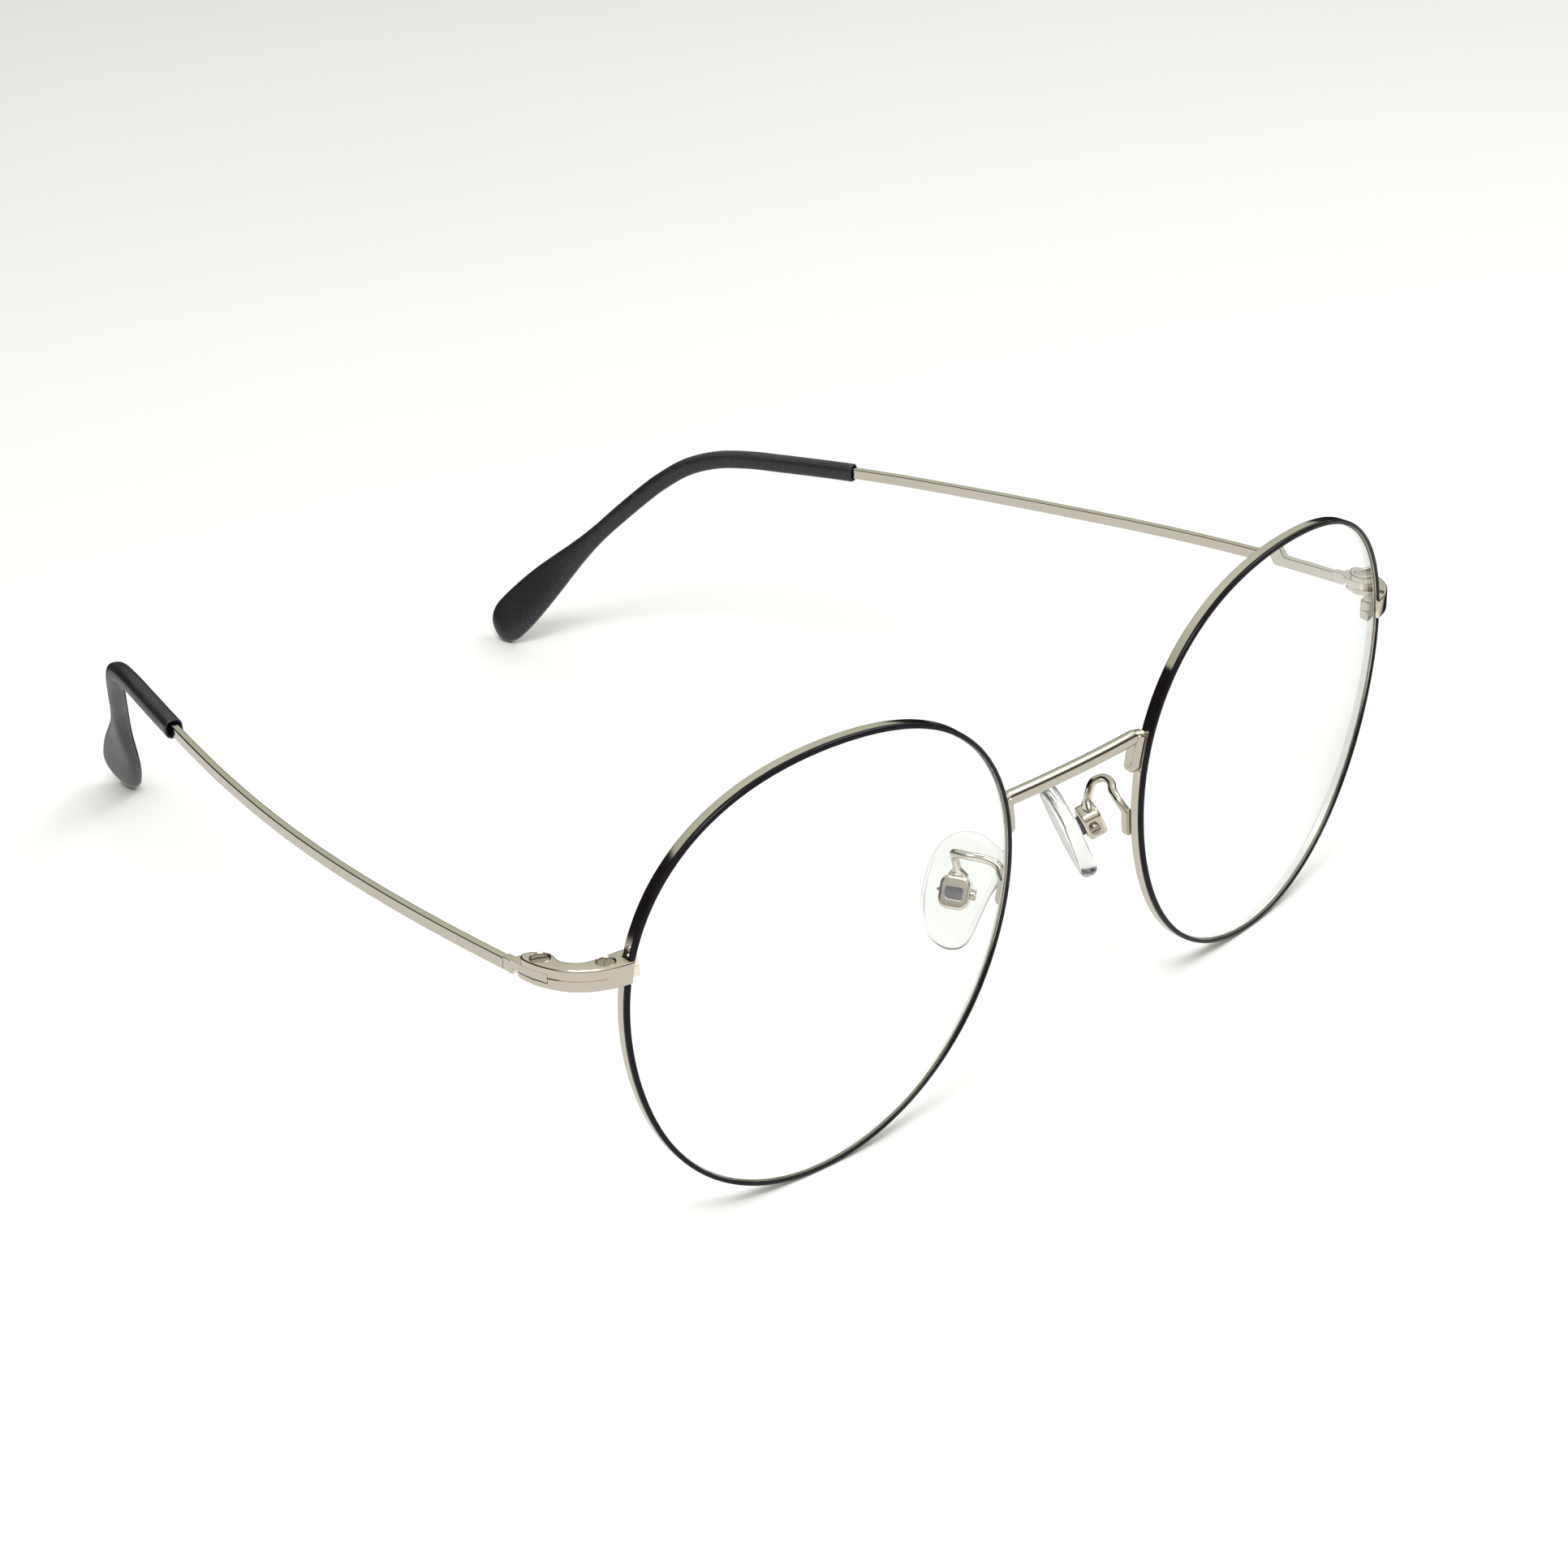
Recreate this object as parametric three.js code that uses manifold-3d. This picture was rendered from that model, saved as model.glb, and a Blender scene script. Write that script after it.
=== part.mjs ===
// Round wire eyeglasses with adjustable silicone nose pads.
//
// Millimetres, +Z up. The front looks along -Y, the temples run back along +Y,
// the wearer's left is +X. The frame stands open on the bottoms of both rims and
// on both temple tips, as on a table. Everything is worked out for the wearer's
// left side and mirrored across X = 0 for the right side.

import * as THREE from 'three';
import { mergeVertices } from 'three/addons/utils/BufferGeometryUtils.js';
import Module from 'manifold-3d';

const wasm = await Module();
wasm.setup();

// ---------------------------------------------------------------- dimensions

// Eye shape: mean radius of the inner front edge of the rim and the small
// harmonics that make it slightly flatter at the nose and at the top.
const EYE_RADIUS = 24.5;
const EYE_COS = [-0.0836, -0.0943, -0.2593, 0.0078]; // cos 2t .. cos 5t
const EYE_SIN = [0.0155, 0.6217, 0.0446, 0.0049]; // sin 2t .. sin 5t
const EYE_CENTRE_X = 35.337; // half the distance between the eye centres
const EYE_CENTRE_Z = 25.237;
const PANTO_TILT = 0.06294; // rad, the front leans back at the bottom
const FACE_WRAP = 0.10053; // rad, the outer side of each rim sits further back
const CURVE_U = 0.00385; // base curve of the lens, sideways (1/mm)
const CURVE_V = 0.00233; // base curve of the lens, up and down (1/mm)

// Rim wire
const RIM_T = 0.5; // radial thickness
const RIM_D = 1.4; // depth, front to back
const GROOVE_DEPTH = 0.2;
const GROOVE_AT = 0.92; // groove, back from the front of the rim
const RIM_STEPS = 72;
const SPLIT_Z = 32.2; // height of the split that the rim screw closes
const SPLIT_GAP = 0.3;

// Lens
const LENS_FRONT = 0.5; // set back from the front of the rim
const LENS_BACK = 1.4;
const LENS_EDGE_GAP = 0.08;
const BEVEL_H = 0.2;

// Bridge
const BRIDGE_H = 1.62;
const BRIDGE_D = 1.35;

// End piece, hinge and rim screw
const EP_BOT = 31.05;
const EP_TOP = 33.45;
const SLOT_LO = 31.65;
const SLOT_HI = 32.67;
const SLOT_FRONT_Y = 9.25;
const HINGE_X = 64.35;
const HINGE_Y = 11.1;
const LOCK_X = 60.6;
const LOCK_Y = 6.05;
const HEAD_R = 0.95;
const HEAD_SLOT = 0.26;
const TONGUE_GAP = 0.04;

// Temples
const WIRE_H = 1.4;
const WIRE_T = 0.85;
const TIP_H = 2.3; // covered part, at the mouth
const TIP_T = 2.1;
const PADDLE_W = 6.5;
const PADDLE_T = 2.2;
const PADDLE_TWIST = -0.55; // rad, the lower edge leans towards the head
const BORE_GAP = 0.07;

// Nose pads
const ARM_R = 0.45;
const BOX_W = 3.2;
const BOX_H = 3.6;
const PAD_T = 1.9;
const PAD_STANDOFF = 2.55;
const PAD_CENTRE = new THREE.Vector3(11.1, 7.45, 21.25); // centre of the pad box
const PAD_NORMAL = new THREE.Vector3(-0.775, 0.478, -0.413).normalize();
const PAD_LONG = new THREE.Vector3(-0.362, 0.126, 0.923);

// Centre line of the left temple, from just behind the hinge to the end
const TEMPLE_LINE = [
  [64.96, 15.39, 31.61], [64.93, 20.18, 31.61], [64.79, 24.95, 31.56], [64.52, 29.72, 31.47],
  [64.15, 34.48, 31.36], [63.67, 39.23, 31.24], [63.09, 43.96, 31.11], [62.4, 48.69, 30.98],
  [61.62, 53.41, 30.86], [60.75, 58.11, 30.77], [59.79, 62.8, 30.7], [58.74, 67.48, 30.64],
  [57.62, 72.13, 30.59], [56.41, 76.75, 30.55], [55.14, 81.35, 30.49], [53.8, 85.91, 30.41],
  [52.39, 90.45, 30.26], [50.94, 95.02, 30.08], [49.45, 99.65, 29.85], [47.86, 104.13, 29.2],
  [46.12, 108.17, 27.7], [44.23, 111.7, 25.15], [42.29, 114.88, 22.05], [40.37, 117.89, 18.8],
  [38.54, 120.82, 15.5], [36.8, 123.69, 12.2], [35.16, 126.53, 8.85], [33.65, 129.33, 5.45],
  [32.2, 132.15, 2.1], [31.64, 133.25, 0.74],
];
const MOUTH_S = 0.52; // where the tip's mouth sits, as a fraction of that line

// ------------------------------------------------------------------- helpers

// A closed geometry as a solid: shared vertices merged, flat triangles dropped,
// faces turned outwards.
function solid(geometry) {
  const g = geometry.clone();
  for (const name of Object.keys(g.attributes)) if (name !== 'position') g.deleteAttribute(name);
  const m = mergeVertices(g, 1e-5);
  const p = m.attributes.position.array;
  const idx = m.index.array;
  const tri = [];
  let vol = 0;
  for (let i = 0; i < idx.length; i += 3) {
    const a = idx[i], b = idx[i + 1], c = idx[i + 2];
    if (a === b || b === c || a === c) continue;
    tri.push(a, b, c);
    const ax = p[3 * a], ay = p[3 * a + 1], az = p[3 * a + 2];
    const bx = p[3 * b], by = p[3 * b + 1], bz = p[3 * b + 2];
    const cx = p[3 * c], cy = p[3 * c + 1], cz = p[3 * c + 2];
    vol += ax * (by * cz - bz * cy) + ay * (bz * cx - bx * cz) + az * (bx * cy - by * cx);
  }
  if (vol < 0) for (let i = 0; i < tri.length; i += 3) [tri[i], tri[i + 1]] = [tri[i + 1], tri[i]];
  return new wasm.Manifold(new wasm.Mesh({
    numProp: 3,
    vertProperties: new Float32Array(p),
    triVerts: new Uint32Array(tri),
  }));
}

function geometryOf(manifold, mirror = false) {
  const m = manifold.getMesh();
  const n = m.numProp;
  const pos = new Float32Array((m.vertProperties.length / n) * 3);
  for (let i = 0; i < pos.length / 3; i++) {
    pos[3 * i] = m.vertProperties[n * i] * (mirror ? -1 : 1);
    pos[3 * i + 1] = m.vertProperties[n * i + 1];
    pos[3 * i + 2] = m.vertProperties[n * i + 2];
  }
  const idx = Array.from(m.triVerts);
  if (mirror) for (let i = 0; i < idx.length; i += 3) [idx[i], idx[i + 1]] = [idx[i + 1], idx[i]];
  const g = new THREE.BufferGeometry();
  g.setAttribute('position', new THREE.BufferAttribute(pos, 3));
  g.setIndex(idx);
  g.computeVertexNormals();
  return g;
}

const shapeOf = (pts) => new THREE.Shape(pts.map(([x, y]) => new THREE.Vector2(x, y)));

// A straight extrusion of a section, carried point by point through `place`.
function bent(section, steps, place) {
  const g = new THREE.ExtrudeGeometry(shapeOf(section), { depth: 1, steps, bevelEnabled: false });
  const p = g.attributes.position;
  for (let i = 0; i < p.count; i++) {
    const q = place(p.getX(i), p.getY(i), p.getZ(i));
    p.setXYZ(i, q.x, q.y, q.z);
  }
  return g;
}

// A flat plan outline raised between two heights.
function raised(outline, z0, z1) {
  const g = new THREE.ExtrudeGeometry(shapeOf(outline), { depth: z1 - z0, steps: 1, bevelEnabled: false });
  g.translate(0, 0, z0);
  return solid(g);
}

function block(x0, x1, y0, y1, z0, z1) {
  const g = new THREE.BoxGeometry(x1 - x0, y1 - y0, z1 - z0);
  g.translate((x0 + x1) / 2, (y0 + y1) / 2, (z0 + z1) / 2);
  return solid(g);
}

// A vertical pin
function pin(x, y, r, z0, z1, n = 20) {
  const g = new THREE.CylinderGeometry(r, r, z1 - z0, n);
  g.rotateX(Math.PI / 2);
  g.translate(x, y, (z0 + z1) / 2);
  return solid(g);
}

// A section with rounded corners, `a` half wide and `b` half high
function roundedSection(a, b, c) {
  const k = c * 0.3;
  return [
    [a, -b + c], [a, b - c], [a - k, b - k], [a - c, b], [-a + c, b], [-a + k, b - k],
    [-a, b - c], [-a, -b + c], [-a + k, -b + k], [-a + c, -b], [a - c, -b], [a - k, -b + k],
  ];
}

// ------------------------------------------------------------ the eye's frame

function edge(t) {
  let r = EYE_RADIUS;
  for (let k = 2; k <= 5; k++) r += EYE_COS[k - 2] * Math.cos(k * t) + EYE_SIN[k - 2] * Math.sin(k * t);
  return [r * Math.cos(t), r * Math.sin(t)];
}

// A point of the left rim: t round the eye, n outwards from its inner front
// edge, w back from its front face.
function rimPoint(t, n, w, rho = 1) {
  const [u0, v0] = edge(t);
  const e = 1e-3;
  const [ua, va] = edge(t - e);
  const [ub, vb] = edge(t + e);
  let nu = vb - va;
  let nv = -(ub - ua);
  const l = Math.hypot(nu, nv);
  nu /= l;
  nv /= l;
  const u = rho * u0 + n * nu;
  const v = rho * v0 + n * nv;
  const d = w + CURVE_U * u * u + CURVE_V * v * v;
  const cw = Math.cos(FACE_WRAP), sw = Math.sin(FACE_WRAP);
  const ct = Math.cos(PANTO_TILT), st = Math.sin(PANTO_TILT);
  const x = u * cw - d * sw;
  const y = u * sw + d * cw;
  return new THREE.Vector3(EYE_CENTRE_X + x, y * ct - v * st, y * st + v * ct + EYE_CENTRE_Z);
}

// The angle at which the rim reaches a height, on its outer or its nose side
function angleAt(z, nose) {
  let lo = nose ? Math.PI / 2 : -Math.PI / 2;
  let hi = nose ? (3 * Math.PI) / 2 : Math.PI / 2;
  for (let i = 0; i < 50; i++) {
    const mid = (lo + hi) / 2;
    const above = rimPoint(mid, 0.3, 0.8).z > z;
    if (nose === above) lo = mid;
    else hi = mid;
  }
  return (lo + hi) / 2;
}

const alongRim = (section, t0, t1, steps) =>
  bent(section, steps, (n, w, z) => rimPoint(t0 + (t1 - t0) * z, n, w));

const rect = (a0, a1, b0, b1) => [[a0, b0], [a1, b0], [a1, b1], [a0, b1]];

// ----------------------------------------------------------------------- rim

const splitT = angleAt(SPLIT_Z, false);
const halfGap = SPLIT_GAP / 2 / EYE_RADIUS;
const rimSection = [
  [0, 0], [RIM_T - 0.16, 0], [RIM_T - 0.04, 0.1], [RIM_T, 0.28], [RIM_T, RIM_D - 0.26],
  [RIM_T - 0.05, RIM_D - 0.07], [RIM_T - 0.18, RIM_D], [0, RIM_D], [0, GROOVE_AT + 0.36],
  [GROOVE_DEPTH, GROOVE_AT], [0, GROOVE_AT - 0.36],
];
let rim = solid(alongRim(rimSection, splitT + halfGap, splitT + 2 * Math.PI - halfGap, RIM_STEPS));

// The front of the end piece is let into the rim's front face.
const LAP_D = 0.34;
const lapBand = solid(alongRim(rect(-0.4, 1.2, -0.6, LAP_D + 0.06), splitT - 0.15, splitT + 0.15, 10));
rim = rim.subtract(lapBand.intersect(block(55, 66, -5, 12, EP_BOT - 0.06, EP_TOP + 0.06)));

// ---------------------------------------------------------------------- lens

const lensProfile = [
  [0, LENS_FRONT], [0.5, LENS_FRONT], [1, LENS_FRONT], [1, GROOVE_AT - 0.34], [1 + BEVEL_H, GROOVE_AT],
  [1, GROOVE_AT + 0.34], [1, LENS_BACK], [0.5, LENS_BACK], [0, LENS_BACK],
];
const lensGeometry = new THREE.LatheGeometry(lensProfile.map(([r, w]) => new THREE.Vector2(r, w)), 60);
{
  const p = lensGeometry.attributes.position;
  for (let i = 0; i < p.count; i++) {
    const r = Math.hypot(p.getX(i), p.getZ(i));
    const t = Math.atan2(p.getZ(i), p.getX(i));
    const q = rimPoint(t, Math.max(r - 1, 0) - LENS_EDGE_GAP * Math.min(r, 1), p.getY(i), Math.min(r, 1));
    p.setXYZ(i, q.x, q.y, q.z);
  }
}
const lens = solid(lensGeometry);

// ----------------------------------------------------------------- end piece

// Outer edge of the end piece in plan, from its front end round to its rear end
const epOuter = [
  [57.6, 4.12], [58.6, 4.13], [59.68, 4.36], [60.5, 4.62], [61.3, 4.96], [62.15, 5.43], [62.95, 6.0],
  [63.65, 6.67], [64.22, 7.4], [64.68, 8.2], [65.05, 9.1], [65.33, 10.05], [65.5, 11.0],
  [65.56, 11.8], [65.5, 12.45], [65.22, 12.9], [64.8, 13.05],
];
const epInner = [
  [64.3, 12.85], [63.7, 12.4], [63.22, 11.8], [63.0, 11.1], [63.1, 10.45], [63.3, 9.8], [63.25, 9.2],
  [63.0, 8.6], [62.6, 8.05], [62.05, 7.6], [61.4, 7.32], [60.65, 7.2], [59.9, 7.1], [59.1, 6.98],
  [58.3, 6.85], [57.75, 6.7], [57.5, 6.3], [57.5, 4.6],
];
const epOutline = [...epOuter, ...epInner];
const nearT = 0.2;
const rimKeepout = solid(alongRim(rect(-3, RIM_T + 0.05, LAP_D, RIM_D + 0.05), splitT - nearT, splitT + nearT, 14));
const apertureKeepout = solid(alongRim(rect(-3, 0, -1.5, LAP_D + 0.1), splitT - nearT, splitT + nearT, 14));

// The lower knuckle reaches a little further back than the upper one.
const lowerKnuckle = [[65.5, 11.0], [65.58, 12.2], [65.55, 13.1], [65.25, 13.5], [64.7, 13.5], [64.0, 13.0], [63.4, 12.2], [64.2, 11.0]];
let endPiece = raised(epOutline, EP_BOT, EP_TOP).add(raised(lowerKnuckle, EP_BOT, SLOT_LO)).subtract(rimKeepout).subtract(apertureKeepout);
// slot for the temple's tongue
endPiece = endPiece.subtract(block(61, 67, SLOT_FRONT_Y, 15, SLOT_LO, SLOT_HI));
// room for the lower half of the rim lock, open below and behind
const lockOutline = [
  [57.4, 4.7], [59.6, 4.85], [60.4, 5.12], [61.15, 5.5], [61.7, 5.98], [62.0, 6.5], [61.75, 7.12],
  [61.3, 7.28], [60.65, 7.2], [59.9, 7.1], [59.1, 6.98], [58.3, 6.85], [57.75, 6.7], [57.45, 6.3],
];
const LOCK_TOP = SPLIT_Z - 0.03;
const roomOutline = [
  [57.0, 4.62], [59.6, 4.79], [60.43, 5.06], [61.19, 5.45], [61.76, 5.95], [62.08, 6.5], [61.82, 7.2],
  [61.6, 8.3], [57.0, 8.3],
];
const lockRoom = raised(roomOutline, EP_BOT - 0.5, SPLIT_Z + 0.02)
  .subtract(solid(alongRim(rect(-3, RIM_T + 2, -1.5, LAP_D + 0.02), splitT - nearT, splitT + nearT, 14)));
endPiece = endPiece.subtract(lockRoom);
// engraved line from the slot forward along the outer face, at mid height
const grooveBand = [
  ...epOuter.slice(4, 12).map(([x, y]) => {
    const a = Math.atan2(y - 11, x - 58.5);
    return [x + 0.25 * Math.cos(a), y + 0.25 * Math.sin(a)];
  }),
  ...epOuter.slice(4, 12).reverse().map(([x, y]) => {
    const a = Math.atan2(y - 11, x - 58.5);
    return [x - 0.13 * Math.cos(a), y - 0.13 * Math.sin(a)];
  }),
];
endPiece = endPiece.subtract(raised(grooveBand, 32.2, 32.33));
// hinge screw: a counterbored hole above the slot, a plain hole below it
endPiece = endPiece.subtract(pin(HINGE_X, HINGE_Y, HEAD_R + 0.06, EP_TOP - 0.38, EP_TOP + 1));
endPiece = endPiece.subtract(pin(HINGE_X, HINGE_Y, 0.6, EP_BOT - 1, EP_TOP + 1, 16));
// rim screw: the same, through the upper half of the lock
endPiece = endPiece.subtract(pin(LOCK_X, LOCK_Y, HEAD_R + 0.01, EP_TOP - 0.38, EP_TOP + 1));
endPiece = endPiece.subtract(pin(LOCK_X, LOCK_Y, 0.56, EP_BOT - 1, EP_TOP + 1, 16));

let lockHalf = raised(lockOutline, EP_BOT, LOCK_TOP).subtract(rimKeepout)
  .subtract(solid(alongRim(rect(-3, RIM_T + 3, -1.5, LAP_D + 0.08), splitT - nearT, splitT + nearT, 14)));
lockHalf = lockHalf.subtract(pin(LOCK_X, LOCK_Y, 0.56, EP_BOT - 1, EP_TOP + 1, 16));

// A cheese-head screw with a straight slot, head up
function screw(x, y, headR, shankR, zTop, headH, zEnd, slotAngle) {
  const r = headR;
  const pts = [[0, zEnd], [shankR - 0.08, zEnd], [shankR, zEnd + 0.1], [shankR, zTop - headH], [r, zTop - headH],
    [r, zTop - 0.1], [r - 0.14, zTop], [0, zTop]];
  const g = new THREE.LatheGeometry(pts.map(([a, b]) => new THREE.Vector2(a, b)), 20);
  g.rotateX(Math.PI / 2);
  g.translate(x, y, 0);
  const cut = new THREE.BoxGeometry(2 * r + 1, HEAD_SLOT, 0.5);
  cut.rotateZ(slotAngle);
  cut.translate(x, y, zTop + 0.25 - 0.22);
  return solid(g).subtract(solid(cut));
}
const hingeScrew = screw(HINGE_X, HINGE_Y, HEAD_R, 0.52, EP_TOP - 0.02, 0.33, EP_BOT + 0.02, 0.5);
const lockScrew = screw(LOCK_X, LOCK_Y, HEAD_R - 0.04, 0.5, EP_TOP - 0.02, 0.33, EP_BOT + 0.02, -0.7);

// -------------------------------------------------------------------- temple

const templeCurve = new THREE.CatmullRomCurve3(TEMPLE_LINE.map((p) => new THREE.Vector3(...p)), false, 'centripetal');
templeCurve.arcLengthDivisions = 800;

// A point beside the temple's line: a sideways, b upwards across it
function templePoint(s, a, b, twist = 0) {
  const c = templeCurve.getPointAt(s);
  const t = templeCurve.getTangentAt(s);
  const side = new THREE.Vector3().crossVectors(t, new THREE.Vector3(0, 0, 1)).normalize();
  const up = new THREE.Vector3().crossVectors(side, t).normalize();
  const ct = Math.cos(twist), st = Math.sin(twist);
  return c.addScaledVector(side, a * ct - b * st).addScaledVector(up, a * st + b * ct);
}

// Stations along the line, closer together where it bends down to the ear
const bendEase = (z) => z;
const WIRE_END = 0.9;
const wireSection = roundedSection(WIRE_T / 2, WIRE_H / 2, 0.3).filter((_, i) => i % 3 !== 2);
const stations = [0, 0.06, 0.12, 0.18, 0.24, 0.3, 0.36, 0.42, 0.48, 0.54, 0.58, 0.61, 0.63, 0.65, 0.665, 0.68, 0.695,
  0.71, 0.725, 0.745, 0.77, 0.8, 0.85, WIRE_END];
const pick = (list, z) => {
  const f = bendEase(z) * (list.length - 1);
  const i = Math.min(list.length - 2, Math.floor(f + 1e-9));
  return list[i] + (list[i + 1] - list[i]) * (f - i);
};
const wire = solid(bent(wireSection, stations.length - 1, (a, b, z) => templePoint(pick(stations, z), a, b)));

// Tongue: a flat leaf in the end piece's slot, square at its outer front
// corner, where it meets the slot's front wall and stops the temple opening
// too far, and a thicker neck behind, butted to the wire.
const arc = [];
for (let i = 0; i <= 6; i++) {
  const a = -Math.PI / 2 - (i / 6) * (Math.PI / 2);
  arc.push([HINGE_X + 1.33 * Math.cos(a), HINGE_Y + 1.33 * Math.sin(a)]);
}
const tongueOutline = [
  [65.1, 9.32], [65.45, 11.0], [65.52, 12.4], [65.48, 14.1], [64.44, 14.1],
  [64.05, 13.5], [63.45, 12.7], [63.1, 11.9], ...arc.slice().reverse(), [HINGE_X, 9.32],
];
let tongue = raised(tongueOutline, SLOT_LO + TONGUE_GAP, SLOT_HI - TONGUE_GAP);
const neckOutline = [[65.46, 13.9], [65.38, 15.33], [64.52, 15.33], [64.48, 14.2], [64.4, 13.9]];
tongue = tongue.add(raised(neckOutline, 31.0, SLOT_HI - 0.25));
tongue = tongue.subtract(pin(HINGE_X, HINGE_Y, 0.58, 28, 36, 16));

// Covered tip: round-cornered at the mouth, easing into a flat, slightly
// twisted paddle with a rounded end.
const smooth = (x, a, b) => {
  const t = Math.min(1, Math.max(0, (x - a) / (b - a)));
  return t * t * (3 - 2 * t);
};
const tipStations = [0, 0.02, 0.06, 0.12, 0.19, 0.25, 0.28, 0.305, 0.33, 0.355, 0.38, 0.405, 0.44, 0.49, 0.55, 0.62,
  0.69, 0.76, 0.82, 0.87, 0.91, 0.94, 0.96, 0.977, 0.989, 0.998];
function tipSize(q) {
  const grow = smooth(q, 0.62, 0.93) ** 1.15;
  let h = TIP_H / 2 + (PADDLE_W / 2 - TIP_H / 2) * grow;
  let t = TIP_T / 2 + (PADDLE_T / 2 - TIP_T / 2) * smooth(q, 0.5, 0.9);
  const end = Math.max(0, (q - 0.94) / 0.06);
  h *= Math.max(0, 1 - end ** 2.6) ** 0.5;
  t *= Math.sqrt(Math.max(0, 1 - end ** 4));
  if (q < 0.015) { h -= 0.12; t -= 0.12; }
  return [t, h];
}
const unitSection = [
  [1, -0.35], [1, 0.35], [0.82, 0.75], [0.42, 1], [-0.42, 1], [-0.82, 0.75], [-1, 0.35], [-1, -0.35],
  [-0.82, -0.75], [-0.42, -1], [0.42, -1], [0.82, -0.75],
];
let tip = solid(bent(unitSection, tipStations.length - 1, (a, b, z) => {
  const q = pick(tipStations, z);
  const [t, h] = tipSize(q);
  return templePoint(MOUTH_S + (1 - MOUTH_S) * q, a * t, b * h, PADDLE_TWIST * smooth(q, 0.56, 0.91));
}));
const boreSection = roundedSection(WIRE_T / 2 + BORE_GAP, WIRE_H / 2 + BORE_GAP, 0.3).filter((_, i) => i % 3 !== 2);
const boreStations = [MOUTH_S - 0.01, ...stations.filter((s) => s > MOUTH_S && s < WIRE_END), WIRE_END + 0.004];
const bore = solid(bent(boreSection, boreStations.length - 1, (a, b, z) => templePoint(pick(boreStations, z), a, b)));
tip = tip.subtract(bore);

// -------------------------------------------------------------------- bridge

const bridgeLine = (z) => {
  const x = (z - 0.5) * 2 * 11.6;
  const k = Math.min(1, Math.abs(x) / 9.8);
  return new THREE.Vector3(x, 0.65 + 0.22 * k * k, 33.7 + 0.05 * k * k - Math.max(0, Math.abs(x) - 9.8) * 0.2);
};
let bridge = solid(bent(roundedSection(BRIDGE_D / 2, BRIDGE_H / 2, 0.5), 16, (a, b, z) => {
  const c = bridgeLine(z);
  const l = bridgeLine(Math.max(0, z - 0.01));
  const r = bridgeLine(Math.min(1, z + 0.01));
  const t = r.sub(l).normalize();
  const up = new THREE.Vector3(-t.z, 0, t.x).normalize();
  return c.addScaledVector(up, b).add(new THREE.Vector3(0, a, 0));
}));
// A foot down the back of each rim's nose side, soldered to the rim
const footT0 = angleAt(33.9, true);
const footT1 = angleAt(29.6, true);
const bridgeFoot = solid(alongRim(
  [[RIM_T + 0.05, 0.5], [1.35, 0.5], [1.7, 0.75], [1.7, 1.55], [1.4, 1.85], [RIM_T + 0.05, 1.85]], footT0, footT1, 6));
const mirrored = (m) => solid(geometryOf(m, true));
const rimClear = solid(alongRim(rect(-4, RIM_T + 0.05, -3, 4), angleAt(37, true), angleAt(27, true), 16));
bridge = bridge.subtract(rimClear).subtract(mirrored(rimClear)).add(bridgeFoot).add(mirrored(bridgeFoot));

// ------------------------------------------------------------------ nose pad

const N = PAD_NORMAL;
const E1 = PAD_LONG.clone().addScaledVector(N, -PAD_LONG.dot(N)).normalize();
const E2 = new THREE.Vector3().crossVectors(E1, N).normalize();
const padPlace = (a, b, t) => PAD_CENTRE.clone().addScaledVector(E2, a).addScaledVector(E1, b).addScaledVector(N, t);
function inPadFrame(geometry) {
  const g = geometry.clone();
  const p = g.attributes.position;
  for (let i = 0; i < p.count; i++) {
    const q = padPlace(p.getX(i), p.getY(i), p.getZ(i));
    p.setXYZ(i, q.x, q.y, q.z);
  }
  return solid(g);
}
function plate(outline, t0, t1) {
  const g = new THREE.ExtrudeGeometry(shapeOf(outline), { depth: t1 - t0, steps: 1, bevelEnabled: false });
  g.translate(0, 0, t0);
  return inPadFrame(g);
}
const oct = (w, h, c) => [
  [w / 2 - c, -h / 2], [w / 2, -h / 2 + c], [w / 2, h / 2 - c], [w / 2 - c, h / 2],
  [-w / 2 + c, h / 2], [-w / 2, h / 2 - c], [-w / 2, -h / 2 + c], [-w / 2 + c, -h / 2],
];
function crossPin(r, a0, a1, n = 14) {
  const g = new THREE.CylinderGeometry(r, r, a1 - a0, n);
  g.rotateZ(-Math.PI / 2);
  g.translate((a0 + a1) / 2, 0, 0);
  return inPadFrame(g);
}

const BOX_BACK = -1.25;
const BOX_FRONT = 0.95;
let padBox = plate(oct(BOX_W, BOX_H, 0.9), BOX_BACK, BOX_FRONT);
padBox = padBox.subtract(plate(rect(-1.1, 1.1, -1.25, 1.25), -0.8, 2));
padBox = padBox.subtract(plate(rect(-0.95, 0.95, -0.85, 0.6), -2, 0));
padBox = padBox.subtract(crossPin(0.42, -3, 3));

const padScrew = crossPin(0.36, -2.05, 1.75).add(crossPin(0.6, BOX_W / 2 + 0.05, 2.15));

const padBack = PAD_STANDOFF - PAD_T / 2;
let padMount = plate(oct(1.9, 1.6, 0.3), -0.55, padBack - 0.04);
padMount = padMount.subtract(crossPin(0.44, -3, 3));

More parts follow.
